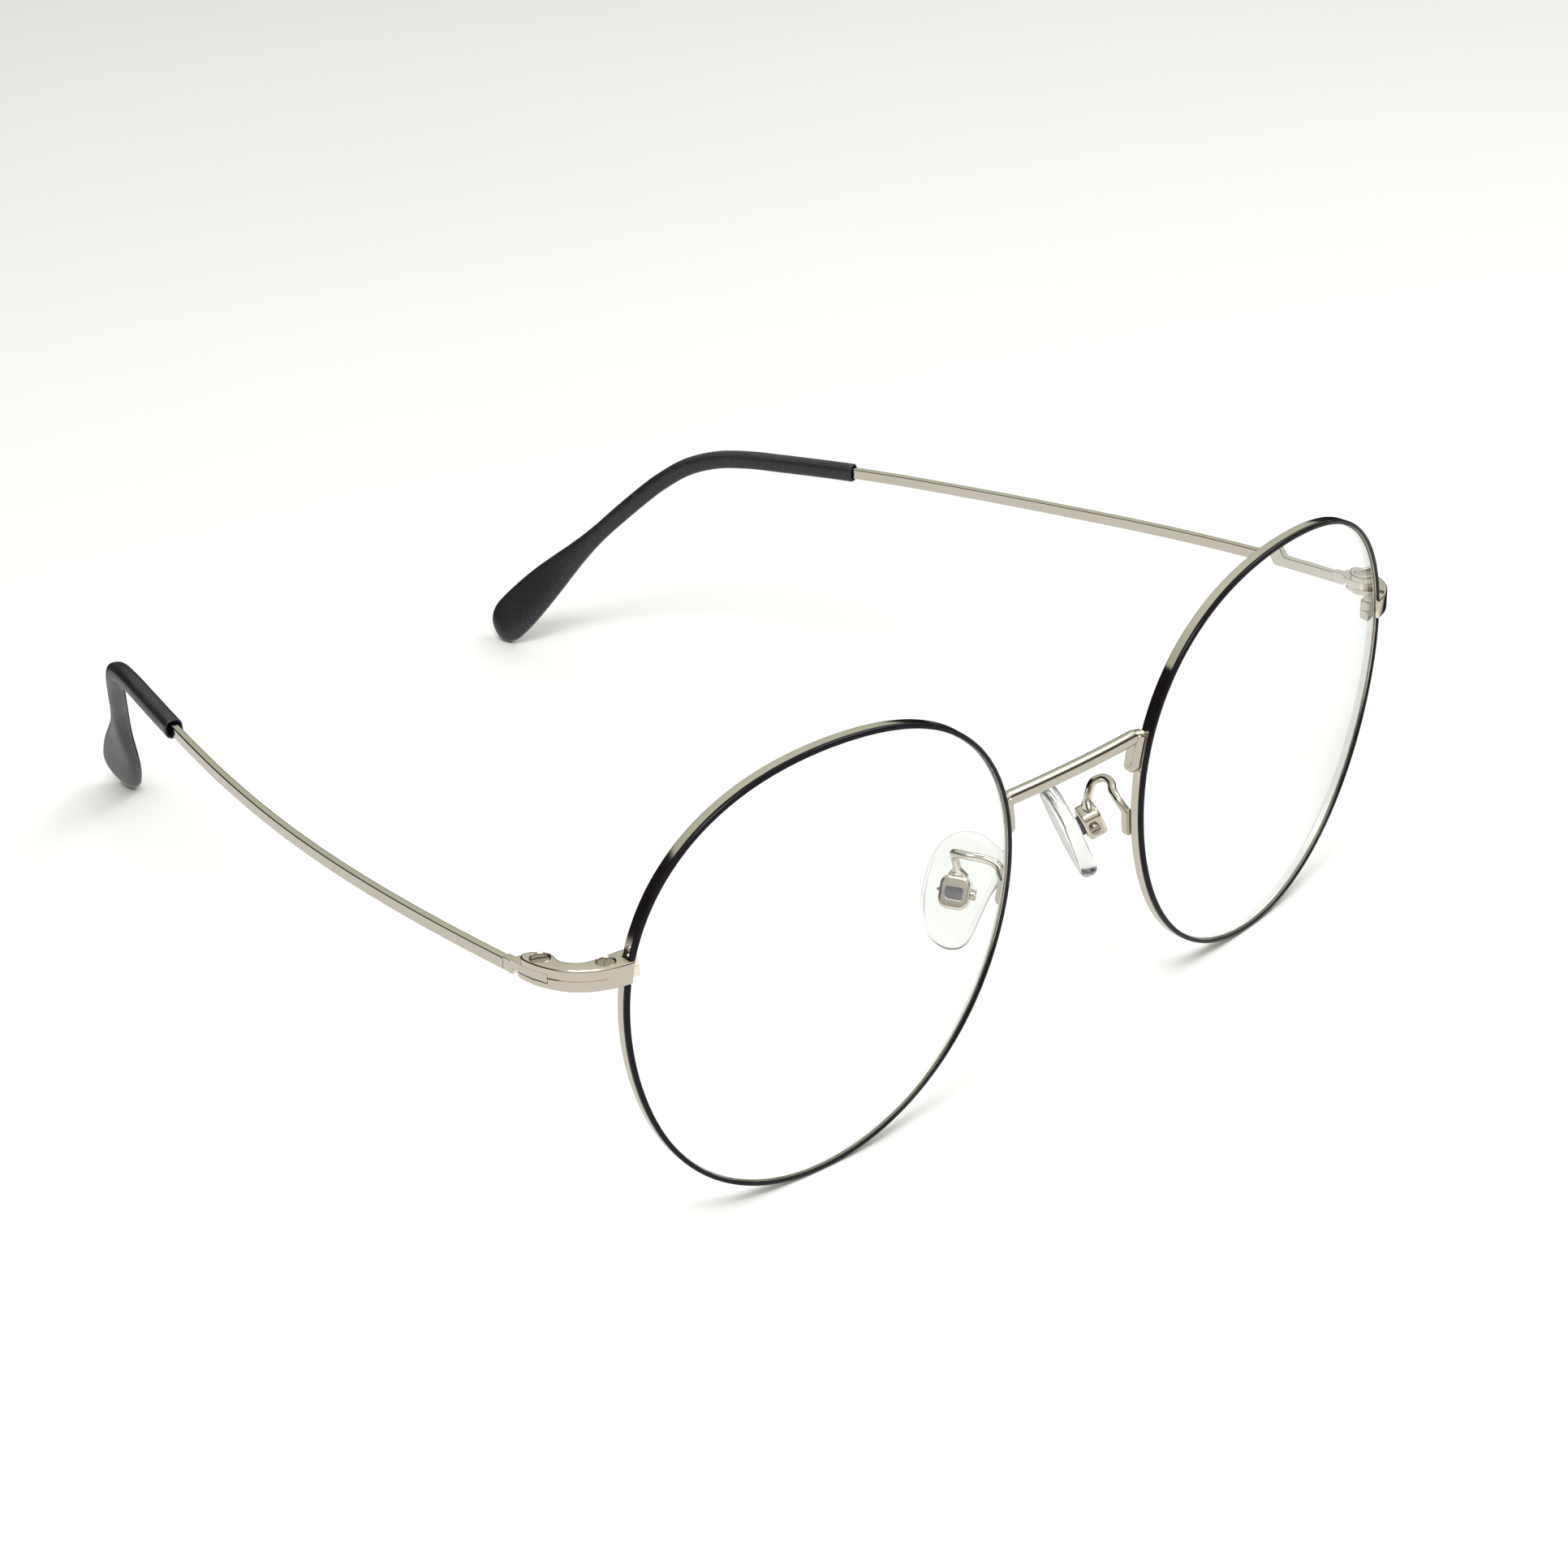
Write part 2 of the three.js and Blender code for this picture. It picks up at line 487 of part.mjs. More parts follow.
const padOutline = [
  [-0.07, 6.38], [-1.55, 5.85], [-2.81, 4.6], [-3.6, 2.6], [-3.94, -0.2], [-3.78, -2.4], [-3.1, -4.4], [-2.12, -5.6],
  [-0.9, -6.3], [0.26, -6.35], [1.2, -5.9], [1.85, -5.0], [2.69, -2.08], [3.45, 0.7], [3.88, 2.6], [3.85, 3.8],
  [3.24, 5.0], [1.81, 6.09],
];
const padGeometry = (() => {
  const b = 0.55;
  const inset = padOutline.map(([x, y]) => {
    const l = Math.hypot(x, y);
    return [x * (1 - b / l), y * (1 - b / l)];
  });
  const g = new THREE.ExtrudeGeometry(shapeOf(inset), {
    depth: PAD_T - 2 * b, steps: 1, bevelEnabled: true, bevelThickness: b, bevelSize: b, bevelSegments: 2,
  });
  g.translate(0, 0, PAD_STANDOFF - PAD_T / 2 + b);
  return g;
})();
const nosePad = inPadFrame(padGeometry);

// Pad arm: a bent wire from a foot on the back of the rim, up, over and down
// into the top of the box, where it is flattened into a small gusset.
const armFootT0 = angleAt(24.9, true);
const armFootT1 = angleAt(21.6, true);
const armFoot = solid(alongRim(
  [[0.05, RIM_D + 0.05], [0.8, RIM_D + 0.05], [0.95, RIM_D + 0.2], [0.95, RIM_D + 0.65], [0.75, RIM_D + 0.85],
    [0.05, RIM_D + 0.85]], armFootT0, armFootT1, 4));
const armStart = rimPoint(angleAt(24.5, true), 0.5, RIM_D + 0.46);
const armCurve = new THREE.CatmullRomCurve3([
  armStart, new THREE.Vector3(10.1, 2.75, 25.7), new THREE.Vector3(10.65, 3.94, 26.18),
  new THREE.Vector3(11.7, 5.14, 26.5), new THREE.Vector3(12.0, 6.5, 26.45), new THREE.Vector3(11.45, 7.4, 25.84),
  new THREE.Vector3(10.95, 7.55, 24.64), padPlace(0.05, BOX_H / 2 - 0.1, -0.25),
], false, 'centripetal');
const ring = [];
for (let i = 0; i < 8; i++) ring.push([Math.cos((i / 8) * 2 * Math.PI + 0.3927), Math.sin((i / 8) * 2 * Math.PI + 0.3927)]);
// Section directions carried back along the wire from its lower end, untwisted
const ARM_STEPS = 22;
const armFrames = [];
{
  let s = E2.clone();
  for (let i = ARM_STEPS; i >= 0; i--) {
    const t = armCurve.getTangentAt(i / ARM_STEPS);
    s = s.clone().addScaledVector(t, -s.dot(t)).normalize();
    armFrames[i] = [s, new THREE.Vector3().crossVectors(t, s).normalize()];
  }
}
let padArm = solid(bent(ring, ARM_STEPS, (a, b, z) => {
  const c = armCurve.getPointAt(z);
  const [s1, s2] = armFrames[Math.round(z * ARM_STEPS)];
  const wide = 1 + 1.5 * smooth(z, 0.88, 1);
  return c.addScaledVector(s1, a * ARM_R * wide).addScaledVector(s2, b * ARM_R);
}));
padArm = padArm.add(armFoot);
padArm = padArm.subtract(plate(oct(BOX_W + 0.1, BOX_H + 0.1, 0.9), BOX_BACK - 0.5, BOX_FRONT + 0.5));
const armRimKeepout = solid(alongRim(rect(-2, 2.5, -1, RIM_D + 0.05), angleAt(28, true), angleAt(19, true), 12));
padArm = padArm.subtract(armRimKeepout);

// ------------------------------------------------------------------ materials

const metal = () => new THREE.MeshStandardMaterial({ color: 0xcfc6b4, roughness: 0.18, metalness: 1 });
const enamel = () => new THREE.MeshStandardMaterial({ color: 0x15121a, roughness: 0.12, metalness: 0.2 });
const clearLens = () => new THREE.MeshStandardMaterial({ color: 0xf4f8f6, roughness: 0.02, metalness: 0, transparent: true, opacity: 0.15 });
const acetate = () => new THREE.MeshStandardMaterial({ color: 0x23262a, roughness: 0.45, metalness: 0 });
const silicone = () => new THREE.MeshStandardMaterial({ color: 0xf2f2ee, roughness: 0.25, metalness: 0, transparent: true, opacity: 0.35 });
const darkPlastic = () => new THREE.MeshStandardMaterial({ color: 0x5b5463, roughness: 0.4, metalness: 0 });

// ---------------------------------------------------------------------- build

const model = new THREE.Group();
function put(name, manifold, material, mirror) {
  const mesh = new THREE.Mesh(geometryOf(manifold, mirror), material());
  mesh.name = name;
  model.add(mesh);
}
for (const [side, mirror] of [['left', false], ['right', true]]) {
  put(`${side}_rim`, rim, enamel, mirror);
  put(`${side}_lens`, lens, clearLens, mirror);
  put(`${side}_end_piece`, endPiece, metal, mirror);
  put(`${side}_rim_lock`, lockHalf, metal, mirror);
  put(`${side}_rim_screw`, lockScrew, metal, mirror);
  put(`${side}_hinge_screw`, hingeScrew, metal, mirror);
  put(`${side}_pad_arm`, padArm, metal, mirror);
  put(`${side}_pad_box`, padBox, metal, mirror);
  put(`${side}_pad_screw`, padScrew, metal, mirror);
  put(`${side}_pad_mount`, padMount, darkPlastic, mirror);
  put(`${side}_nose_pad`, nosePad, silicone, mirror);
  put(`${side}_hinge_tongue`, tongue, metal, mirror);
  put(`${side}_temple_wire`, wire, metal, mirror);
  put(`${side}_temple_tip`, tip, acetate, mirror);
}
put('bridge', bridge, metal, false);

// The origin is the middle of the box, at the surface the frame stands on.
const box = new THREE.Box3().setFromObject(model);
model.position.set(-(box.min.x + box.max.x) / 2, -(box.min.y + box.max.y) / 2, -box.min.z);
model.updateMatrixWorld(true);

export default model;
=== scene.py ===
import bpy, bmesh, math
import numpy as np
from mathutils import Matrix, Vector


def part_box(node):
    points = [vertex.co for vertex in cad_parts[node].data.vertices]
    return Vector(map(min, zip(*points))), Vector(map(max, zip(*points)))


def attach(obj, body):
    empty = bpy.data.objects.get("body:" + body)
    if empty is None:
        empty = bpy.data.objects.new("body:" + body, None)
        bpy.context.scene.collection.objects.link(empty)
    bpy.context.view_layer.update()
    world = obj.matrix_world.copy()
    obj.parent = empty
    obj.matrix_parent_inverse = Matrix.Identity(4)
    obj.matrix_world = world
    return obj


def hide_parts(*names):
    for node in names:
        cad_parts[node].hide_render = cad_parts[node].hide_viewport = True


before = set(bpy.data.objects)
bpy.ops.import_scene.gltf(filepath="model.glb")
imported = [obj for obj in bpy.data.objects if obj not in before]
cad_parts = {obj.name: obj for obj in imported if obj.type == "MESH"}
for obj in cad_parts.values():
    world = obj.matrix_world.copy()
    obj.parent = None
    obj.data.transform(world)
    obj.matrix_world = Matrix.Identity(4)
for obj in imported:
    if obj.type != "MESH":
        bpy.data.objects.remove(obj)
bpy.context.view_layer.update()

# ---------------------------------------------------------------- dimensions
# The same construction as the CAD part, in millimetres, with finer steps and
# rounded edges. SHIFT carries it to the row frame and is read off the frame.
EYE_RADIUS = 24.5
EYE_COS = [-0.0836, -0.0943, -0.2593, 0.0078]
EYE_SIN = [0.0155, 0.6217, 0.0446, 0.0049]
EYE_CENTRE_X, EYE_CENTRE_Z = 35.337, 25.237
PANTO_TILT, FACE_WRAP = 0.06294, 0.10053
CURVE_U, CURVE_V = 0.00385, 0.00233
RIM_T, RIM_D = 0.5, 1.4
GROOVE_AT, LENS_FRONT, LENS_BACK = 0.92, 0.5, 1.4
SPLIT_Z, SPLIT_GAP = 32.2, 0.3
LAP_D = 0.34
EP_BOT, EP_TOP = 31.05, 33.45
SLOT_LO, SLOT_HI, SLOT_FRONT_Y = 31.65, 32.67, 9.25
HINGE_X, HINGE_Y, LOCK_X, LOCK_Y, HEAD_R = 64.35, 11.1, 60.6, 6.05, 0.95
WIRE_H, WIRE_T, WIRE_END = 1.4, 0.85, 0.9
TIP_H, TIP_T, PADDLE_W, PADDLE_T, PADDLE_TWIST, BORE_GAP = 2.3, 2.1, 6.5, 2.2, -0.55, 0.07
MOUTH_S = 0.52
BRIDGE_H, BRIDGE_D = 1.62, 1.35
ARM_R, BOX_W, BOX_H, PAD_T, PAD_STANDOFF = 0.45, 3.2, 3.6, 1.9, 2.55
PAD_CENTRE = np.array([11.1, 7.45, 21.25])
TEMPLE_LINE = np.array([
    [64.96, 15.39, 31.61], [64.93, 20.18, 31.61], [64.79, 24.95, 31.56], [64.52, 29.72, 31.47],
    [64.15, 34.48, 31.36], [63.67, 39.23, 31.24], [63.09, 43.96, 31.11], [62.4, 48.69, 30.98],
    [61.62, 53.41, 30.86], [60.75, 58.11, 30.77], [59.79, 62.8, 30.7], [58.74, 67.48, 30.64],
    [57.62, 72.13, 30.59], [56.41, 76.75, 30.55], [55.14, 81.35, 30.49], [53.8, 85.91, 30.41],
    [52.39, 90.45, 30.26], [50.94, 95.02, 30.08], [49.45, 99.65, 29.85], [47.86, 104.13, 29.2],
    [46.12, 108.17, 27.7], [44.23, 111.7, 25.15], [42.29, 114.88, 22.05], [40.37, 117.89, 18.8],
    [38.54, 120.82, 15.5], [36.8, 123.69, 12.2], [35.16, 126.53, 8.85], [33.65, 129.33, 5.45],
    [32.2, 132.15, 2.1], [31.64, 133.25, 0.74]])

_lo, _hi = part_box("left_hinge_screw")
SHIFT = np.array([(_lo.x + _hi.x) * 500 - HINGE_X, (_lo.y + _hi.y) * 500 - HINGE_Y, _hi.z * 1000 - (EP_TOP - 0.02)])

# ------------------------------------------------------------------- helpers


def unit(v):
    v = np.asarray(v, float)
    return v / np.linalg.norm(v)


def link(me, name):
    o = bpy.data.objects.new(name, me)
    bpy.context.scene.collection.objects.link(o)
    return o


def mesh_of(name, verts, faces, tags=None):
    me = bpy.data.meshes.new(name)
    me.from_pydata([tuple(map(float, v)) for v in verts], [], [tuple(map(int, f)) for f in faces])
    me.update()
    if tags is not None:
        me.polygons.foreach_set("material_index", np.array(tags, np.int32))
    return me


def outward(me):
    bm = bmesh.new()
    bm.from_mesh(me)
    bmesh.ops.recalc_face_normals(bm, faces=bm.faces)
    bm.to_mesh(me)
    bm.free()


def sweep(rings, tags=None, path_closed=False, cap0=True, cap1=True, cap_tag=0):
    """rings: (R, M, 3) points; returns verts, faces, tags. tags: one per section segment."""
    rings = np.asarray(rings, float)
    R, M = rings.shape[:2]
    verts = rings.reshape(-1, 3)
    faces, out = [], []
    for i in range(R if path_closed else R - 1):
        a, b = i * M, ((i + 1) % R) * M
        for j in range(M):
            k = (j + 1) % M
            faces.append((a + j, a + k, b + k, b + j))
            out.append(tags[j] if tags is not None else 0)
    verts = list(verts)
    if not path_closed:
        if cap0:
            faces.append(tuple(range(M - 1, -1, -1)))
            out.append(cap_tag)
        if cap1:
            faces.append(tuple(range((R - 1) * M, R * M)))
            out.append(cap_tag)
    return verts, faces, out


def catmull(points, per, closed=False, alpha=0.25):
    """Centripetal Catmull-Rom through points, `per` samples a span."""
    P = np.asarray(points, float)
    n = len(P)
    out = []
    spans = n if closed else n - 1
    for i in range(spans):
        p1, p2 = P[i % n], P[(i + 1) % n]
        p0 = P[(i - 1) % n] if (closed or i > 0) else 2 * P[0] - P[1]
        p3 = P[(i + 2) % n] if (closed or i + 2 < n) else 2 * P[-1] - P[-2]
        d0, d1, d2 = (max(((a - b) ** 2).sum() ** alpha, 1e-6) for a, b in ((p1, p0), (p2, p1), (p3, p2)))
        t1 = ((p1 - p0) / d0 - (p2 - p0) / (d0 + d1) + (p2 - p1) / d1) * d1
        t2 = ((p2 - p1) / d1 - (p3 - p1) / (d1 + d2) + (p3 - p2) / d2) * d1
        for k in range(per):
            u = k / per
            out.append(p1 + t1 * u + (-3 * p1 + 3 * p2 - 2 * t1 - t2) * u * u + (2 * p1 - 2 * p2 + t1 + t2) * u ** 3)
    if not closed:
        out.append(P[-1])
    return np.array(out)


class Line:
    """A curve by its arc length, from 0 to 1."""

    def __init__(self, points, per=40):
        self.p = catmull(points, per)
        d = np.linalg.norm(np.diff(self.p, axis=0), axis=1)
        self.s = np.concatenate([[0], np.cumsum(d)])
        self.length = self.s[-1]
        self.s = self.s / self.length

    def at(self, s):
        return np.array([np.interp(s, self.s, self.p[:, k]) for k in range(3)])

    def tangent(self, s, h=2e-3):
        return unit(self.at(min(1, s + h)) - self.at(max(0, s - h)))


def smooth(x, a, b):
    t = min(1.0, max(0.0, (x - a) / (b - a)))
    return t * t * (3 - 2 * t)


def rounded_rect(a, b, c, n=5):
    """Closed section, half width a, half height b, corner radius c."""
    out = []
    for cx, cy, q in ((a - c, b - c, 0), (-a + c, b - c, 1), (-a + c, -b + c, 2), (a - c, -b + c, 3)):
        for i in range(n + 1):
            t = math.pi / 2 * (q + i / n)
            out.append((cx + c * math.cos(t), cy + c * math.sin(t)))
    return np.array(out)


def offset_outline(pts, d):
    """Closed outline moved inwards by d along its own normals."""
    P = np.asarray(pts, float)
    area = 0.5 * np.sum(P[:, 0] * np.roll(P[:, 1], -1) - np.roll(P[:, 0], -1) * P[:, 1])
    t = np.roll(P, -1, axis=0) - np.roll(P, 1, axis=0)
    t /= np.maximum(np.linalg.norm(t, axis=1), 1e-9)[:, None]
    nrm = np.stack([t[:, 1], -t[:, 0]], 1) * (1 if area > 0 else -1)
    return P - nrm * d


def resample(pts, step):
    """Closed outline with points about `step` apart."""
    P = np.vstack([pts, pts[:1]])
    d = np.linalg.norm(np.diff(P, axis=0), axis=1)
    s = np.concatenate([[0], np.cumsum(d)])
    n = max(12, int(round(s[-1] / step)))
    q = np.arange(n) * s[-1] / n
    return np.stack([np.interp(q, s, P[:, 0]), np.interp(q, s, P[:, 1])], 1)


def prism(outline, z0, z1, r=0.0, place=None, n=4, r_low=None):
    """A raised outline with rounded top and bottom edges; place maps (x, y, z)."""
    r_low = r if r_low is None else r_low
    layers = []
    if r_low > 0:
        for i in range(n + 1):
            t = math.pi / 2 * i / n
            layers.append((r_low * (1 - math.sin(t)), z0 + r_low * (1 - math.cos(t))))
    else:
        layers.append((0, z0))
    if r > 0:
        for i in range(n + 1):
            t = math.pi / 2 * i / n
            layers.append((r * (1 - math.cos(t)), z1 - r * (1 - math.sin(t))))
    else:
        layers.append((0, z1))
    rings = []
    for inset, z in layers:
        o = offset_outline(outline, inset) if inset > 0 else np.asarray(outline, float)
        rings.append([(x, y, z) for x, y in o])
    rings = np.array(rings)
    if place is not None:
        rings = np.array([[place(*p) for p in ring] for ring in rings])
    return sweep(rings)


def tool(data, name="tool"):
    me = mesh_of(name, data[0], data[1])
    outward(me)
    return link(me, name)


def box_data(x0, x1, y0, y1, z0, z1, place=None):
    ring = [[(x0, y0, z), (x1, y0, z), (x1, y1, z), (x0, y1, z)] for z in (z0, z1)]
    if place is not None:
        ring = [[place(*p) for p in r] for r in ring]
    return sweep(np.array(ring, float))


def lathe_data(profile, n, place):
    """Profile points (radius, height); place maps (x, y, z)."""
    rings = []
    for rr, z in profile:
        rings.append([place(max(rr, 1e-4) * math.cos(2 * math.pi * i / n), max(rr, 1e-4) * math.sin(2 * math.pi * i / n), z)
                      for i in range(n)])
    return sweep(np.array(rings, float))


def apply_modifiers(o):
    dg = bpy.context.evaluated_depsgraph_get()
    me = bpy.data.meshes.new_from_object(o.evaluated_get(dg))
    o.modifiers.clear()
    old = o.data
    o.data = me
    bpy.data.meshes.remove(old)


def boolean(o, data, op="DIFFERENCE"):
    other = tool(data) if isinstance(data, tuple) else data
    m = o.modifiers.new("b", "BOOLEAN")
    m.operation, m.solver, m.object = op, "EXACT", other
    apply_modifiers(o)
    me = other.data
    bpy.data.objects.remove(other)
    bpy.data.meshes.remove(me)
    return o


PIECES = []


def piece(name, source, body, mats, nodes, side=1, sharp=35, in_mm=True):
    """A finished object: mirrored if it is the right side's, in metres, riding on its body."""
    if isinstance(source, bpy.types.Object):
        o = source
        o.name = name
        o.data.name = name
        me = o.data
    else:
        me = mesh_of(name, source[0], source[1], source[2] if len(source) > 2 else None)
        o = link(me, name)
    if side < 0:
        me.transform(Matrix.Diagonal((-1, 1, 1, 1)))
        me.flip_normals()
    outward(me)
    me.transform(Matrix.Diagonal((0.001, 0.001, 0.001, 1)) @ Matrix.Translation(Vector(SHIFT)))
    tags = np.zeros(len(me.polygons), np.int32)
    me.polygons.foreach_get("material_index", tags)
    me.materials.clear()
    for m in mats:
        me.materials.append(m)
    me.polygons.foreach_set("material_index", np.minimum(tags, len(mats) - 1).astype(np.int32))
    me.polygons.foreach_set("use_smooth", [True] * len(me.polygons))
    me.set_sharp_from_angle(angle=math.radians(sharp))
    me.update()
    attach(o, body)
    if nodes:
        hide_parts(*nodes)
    PIECES.append(o)
    return o


# ------------------------------------------------------------------ materials


def material(name):
    m = bpy.data.materials.new(name)
    m.use_nodes = True
    nt = m.node_tree
    return m, nt, nt.nodes["Principled BSDF"], nt.nodes["Material Output"]


def noise(nt, scale, detail=4, rough=0.5, coords=None, stretch=None):
    n = nt.nodes.new("ShaderNodeTexNoise")
    n.inputs["Scale"].default_value = scale
    n.inputs["Detail"].default_value = detail
    n.inputs["Roughness"].default_value = rough
    c = coords or nt.nodes.new("ShaderNodeTexCoord").outputs["Object"]
    if stretch is not None:
        mp = nt.nodes.new("ShaderNodeMapping")
        mp.inputs["Scale"].default_value = stretch
        nt.links.new(c, mp.inputs["Vector"])
        c = mp.outputs["Vector"]
    nt.links.new(c, n.inputs["Vector"])
    return n.outputs["Fac"]


def ramp(nt, fac, stops):
    r = nt.nodes.new("ShaderNodeValToRGB")
    while len(r.color_ramp.elements) < len(stops):
        r.color_ramp.elements.new(0.5)
    for e, (p, c) in zip(r.color_ramp.elements, stops):
        e.position = p
        e.color = (*c, 1) if len(c) == 3 else c
    nt.links.new(fac, r.inputs["Fac"])
    return r.outputs["Color"]


def to_range(nt, fac, lo, hi, a=0.3, b=0.7):
    r = nt.nodes.new("ShaderNodeMapRange")
    r.inputs["From Min"].default_value = a
    r.inputs["From Max"].default_value = b
    r.inputs["To Min"].default_value = lo
    r.inputs["To Max"].default_value = hi
    nt.links.new(fac, r.inputs["Value"])
    return r.outputs["Result"]


def bump(nt, height, distance, strength=1.0):
    b = nt.nodes.new("ShaderNodeBump")
    b.inputs["Distance"].default_value = distance
    b.inputs["Strength"].default_value = strength
    nt.links.new(height, b.inputs["Height"])
    return b.outputs["Normal"]


def nickel_material(name, tint, rough_lo, rough_hi, stretch):
    m, nt, p, _ = material(name)
    p.inputs["Metallic"].default_value = 1.0
    fine = noise(nt, 900, 5, 0.6, stretch=stretch)
    wide = noise(nt, 55, 3, 0.5)
    a, b, c = tint
    nt.links.new(ramp(nt, wide, [(0.3, (a * 0.94, b * 0.93, c * 0.91)), (0.7, (a, b, c))]), p.inputs["Base Color"])
    mix = nt.nodes.new("ShaderNodeMath")
    mix.operation = "MULTIPLY_ADD"
    nt.links.new(fine, mix.inputs[0])
    mix.inputs[1].default_value = 0.5
    nt.links.new(to_range(nt, wide, 0.0, 0.5), mix.inputs[2])
    nt.links.new(to_range(nt, mix.outputs[0], rough_lo, rough_hi, 0.2, 0.8), p.inputs["Roughness"])
    nt.links.new(bump(nt, fine, 0.000004, 0.35), p.inputs["Normal"])
    return m


NICKEL = nickel_material("nickel", (0.74, 0.70, 0.60), 0.05, 0.13, (1, 0.12, 1))
# The inner wall's darker tint is painted shade; its higher roughness is the wall's duller finish.
NICKEL_WALL_SHADED = nickel_material("nickel_inner_wall_painted_shade", (0.50, 0.45, 0.385), 0.16, 0.28, (1, 0.12, 1))
NICKEL_CAST = nickel_material("nickel_end_piece", (0.78, 0.715, 0.615), 0.07, 0.16, (1, 1, 1))
SCREW = nickel_material("screw_steel", (0.50, 0.44, 0.37), 0.12, 0.26, (1, 1, 0.2))

ENAMEL, nt, p, _ = material("rim_enamel")
w = noise(nt, 140, 4, 0.55)
nt.links.new(ramp(nt, w, [(0.35, (0.0065, 0.0052, 0.0078)), (0.7, (0.011, 0.0088, 0.013))]), p.inputs["Base Color"])
nt.links.new(to_range(nt, w, 0.10, 0.19), p.inputs["Roughness"])
p.inputs["Specular IOR Level"].default_value = 0.15
p.inputs["Coat Weight"].default_value = 0.04
p.inputs["Coat Roughness"].default_value = 0.06
nt.links.new(bump(nt, noise(nt, 380, 3, 0.5), 0.000012, 0.25), p.inputs["Normal"])

SLEEVE, nt, p, _ = material("tip_acetate")
sp = noise(nt, 2600, 3, 0.6)
wd = noise(nt, 90, 4, 0.55)
mixc = nt.nodes.new("ShaderNodeMix")
mixc.data_type = "RGBA"
mixc.inputs["Factor"].default_value = 0.35
nt.links.new(ramp(nt, sp, [(0.35, (0.010, 0.011, 0.013)), (0.65, (0.030, 0.033, 0.037))]), mixc.inputs["A"])
nt.links.new(ramp(nt, wd, [(0.3, (0.011, 0.012, 0.015)), (0.7, (0.021, 0.023, 0.026))]), mixc.inputs["B"])
nt.links.new(mixc.outputs["Result"], p.inputs["Base Color"])
nt.links.new(to_range(nt, wd, 0.30, 0.42), p.inputs["Roughness"])
nt.links.new(bump(nt, sp, 0.00002, 0.35), p.inputs["Normal"])

LENS, nt, p, out = material("lens")
nt.nodes.remove(p)
glass = nt.nodes.new("ShaderNodeBsdfGlass")
glass.inputs["Roughness"].default_value = 0.0
glass.inputs["IOR"].default_value = 1.5
nt.links.new(ramp(nt, noise(nt, 25, 3, 0.5), [(0.3, (0.985, 0.992, 0.99)), (0.7, (0.998, 0.998, 0.998))]), glass.inputs["Color"])
clear = nt.nodes.new("ShaderNodeBsdfTransparent")
lp = nt.nodes.new("ShaderNodeLightPath")
mx = nt.nodes.new("ShaderNodeMixShader")
nt.links.new(lp.outputs["Is Shadow Ray"], mx.inputs["Fac"])
nt.links.new(glass.outputs[0], mx.inputs[1])
nt.links.new(clear.outputs[0], mx.inputs[2])
nt.links.new(mx.outputs[0], out.inputs["Surface"])

LENS_EDGE, nt, p, _ = material("lens_edge")
e = noise(nt, 1500, 3, 0.6)
nt.links.new(ramp(nt, e, [(0.3, (0.80, 0.81, 0.80)), (0.7, (0.93, 0.94, 0.93))]), p.inputs["Base Color"])
nt.links.new(to_range(nt, e, 0.45, 0.65), p.inputs["Roughness"])
p.inputs["Transmission Weight"].default_value = 0.45

SILICONE, nt, p, out = material("pad_silicone")
sw = noise(nt, 260, 3, 0.5)
nt.links.new(ramp(nt, sw, [(0.3, (0.86, 0.87, 0.86)), (0.7, (0.93, 0.935, 0.92))]), p.inputs["Base Color"])
nt.links.new(to_range(nt, sw, 0.05, 0.14), p.inputs["Roughness"])
p.inputs["Transmission Weight"].default_value = 1.0
p.inputs["IOR"].default_value = 1.40
clear = nt.nodes.new("ShaderNodeBsdfTransparent")
lp = nt.nodes.new("ShaderNodeLightPath")
mx = nt.nodes.new("ShaderNodeMixShader")
nt.links.new(lp.outputs["Is Shadow Ray"], mx.inputs["Fac"])
nt.links.new(p.outputs[0], mx.inputs[1])
nt.links.new(clear.outputs[0], mx.inputs[2])
nt.links.new(mx.outputs[0], out.inputs["Surface"])

MOUNT, nt, p, _ = material("pad_mount")
mw = noise(nt, 700, 3, 0.5)
nt.links.new(ramp(nt, mw, [(0.3, (0.075, 0.066, 0.085)), (0.7, (0.12, 0.108, 0.135))]), p.inputs["Base Color"])
nt.links.new(to_range(nt, mw, 0.3, 0.5), p.inputs["Roughness"])

FLOOR, nt, p, _ = material("floor")
fw = noise(nt, 6, 4, 0.5)
nt.links.new(ramp(nt, fw, [(0.3, (0.93, 0.93, 0.93)), (0.7, (0.95, 0.95, 0.95))]), p.inputs["Base Color"])
p.inputs["Roughness"].default_value = 0.65

# ------------------------------------------------------------ the eye's frame


def edge(t):
    r = EYE_RADIUS
    for k in range(2, 6):
        r += EYE_COS[k - 2] * math.cos(k * t) + EYE_SIN[k - 2] * math.sin(k * t)
    return r * math.cos(t), r * math.sin(t)


def rim_point(t, n, w, rho=1.0):
    u0, v0 = edge(t)
    e = 1e-3
    ua, va = edge(t - e)
    ub, vb = edge(t + e)
    nu, nv = vb - va, -(ub - ua)
    l = math.hypot(nu, nv)
    u, v = rho * u0 + n * nu / l, rho * v0 + n * nv / l
    d = w + CURVE_U * u * u + CURVE_V * v * v
    cw, sw_, ct, st = math.cos(FACE_WRAP), math.sin(FACE_WRAP), math.cos(PANTO_TILT), math.sin(PANTO_TILT)
    x, y = u * cw - d * sw_, u * sw_ + d * cw
    return np.array([EYE_CENTRE_X + x, y * ct - v * st, y * st + v * ct + EYE_CENTRE_Z])


def angle_at(z, nose):
    lo, hi = (math.pi / 2, 1.5 * math.pi) if nose else (-math.pi / 2, math.pi / 2)
    for _ in range(50):
        mid = (lo + hi) / 2
        above = rim_point(mid, 0.3, 0.8)[2] > z
        if nose == above:
            lo = mid
        else:
            hi = mid
    return (lo + hi) / 2


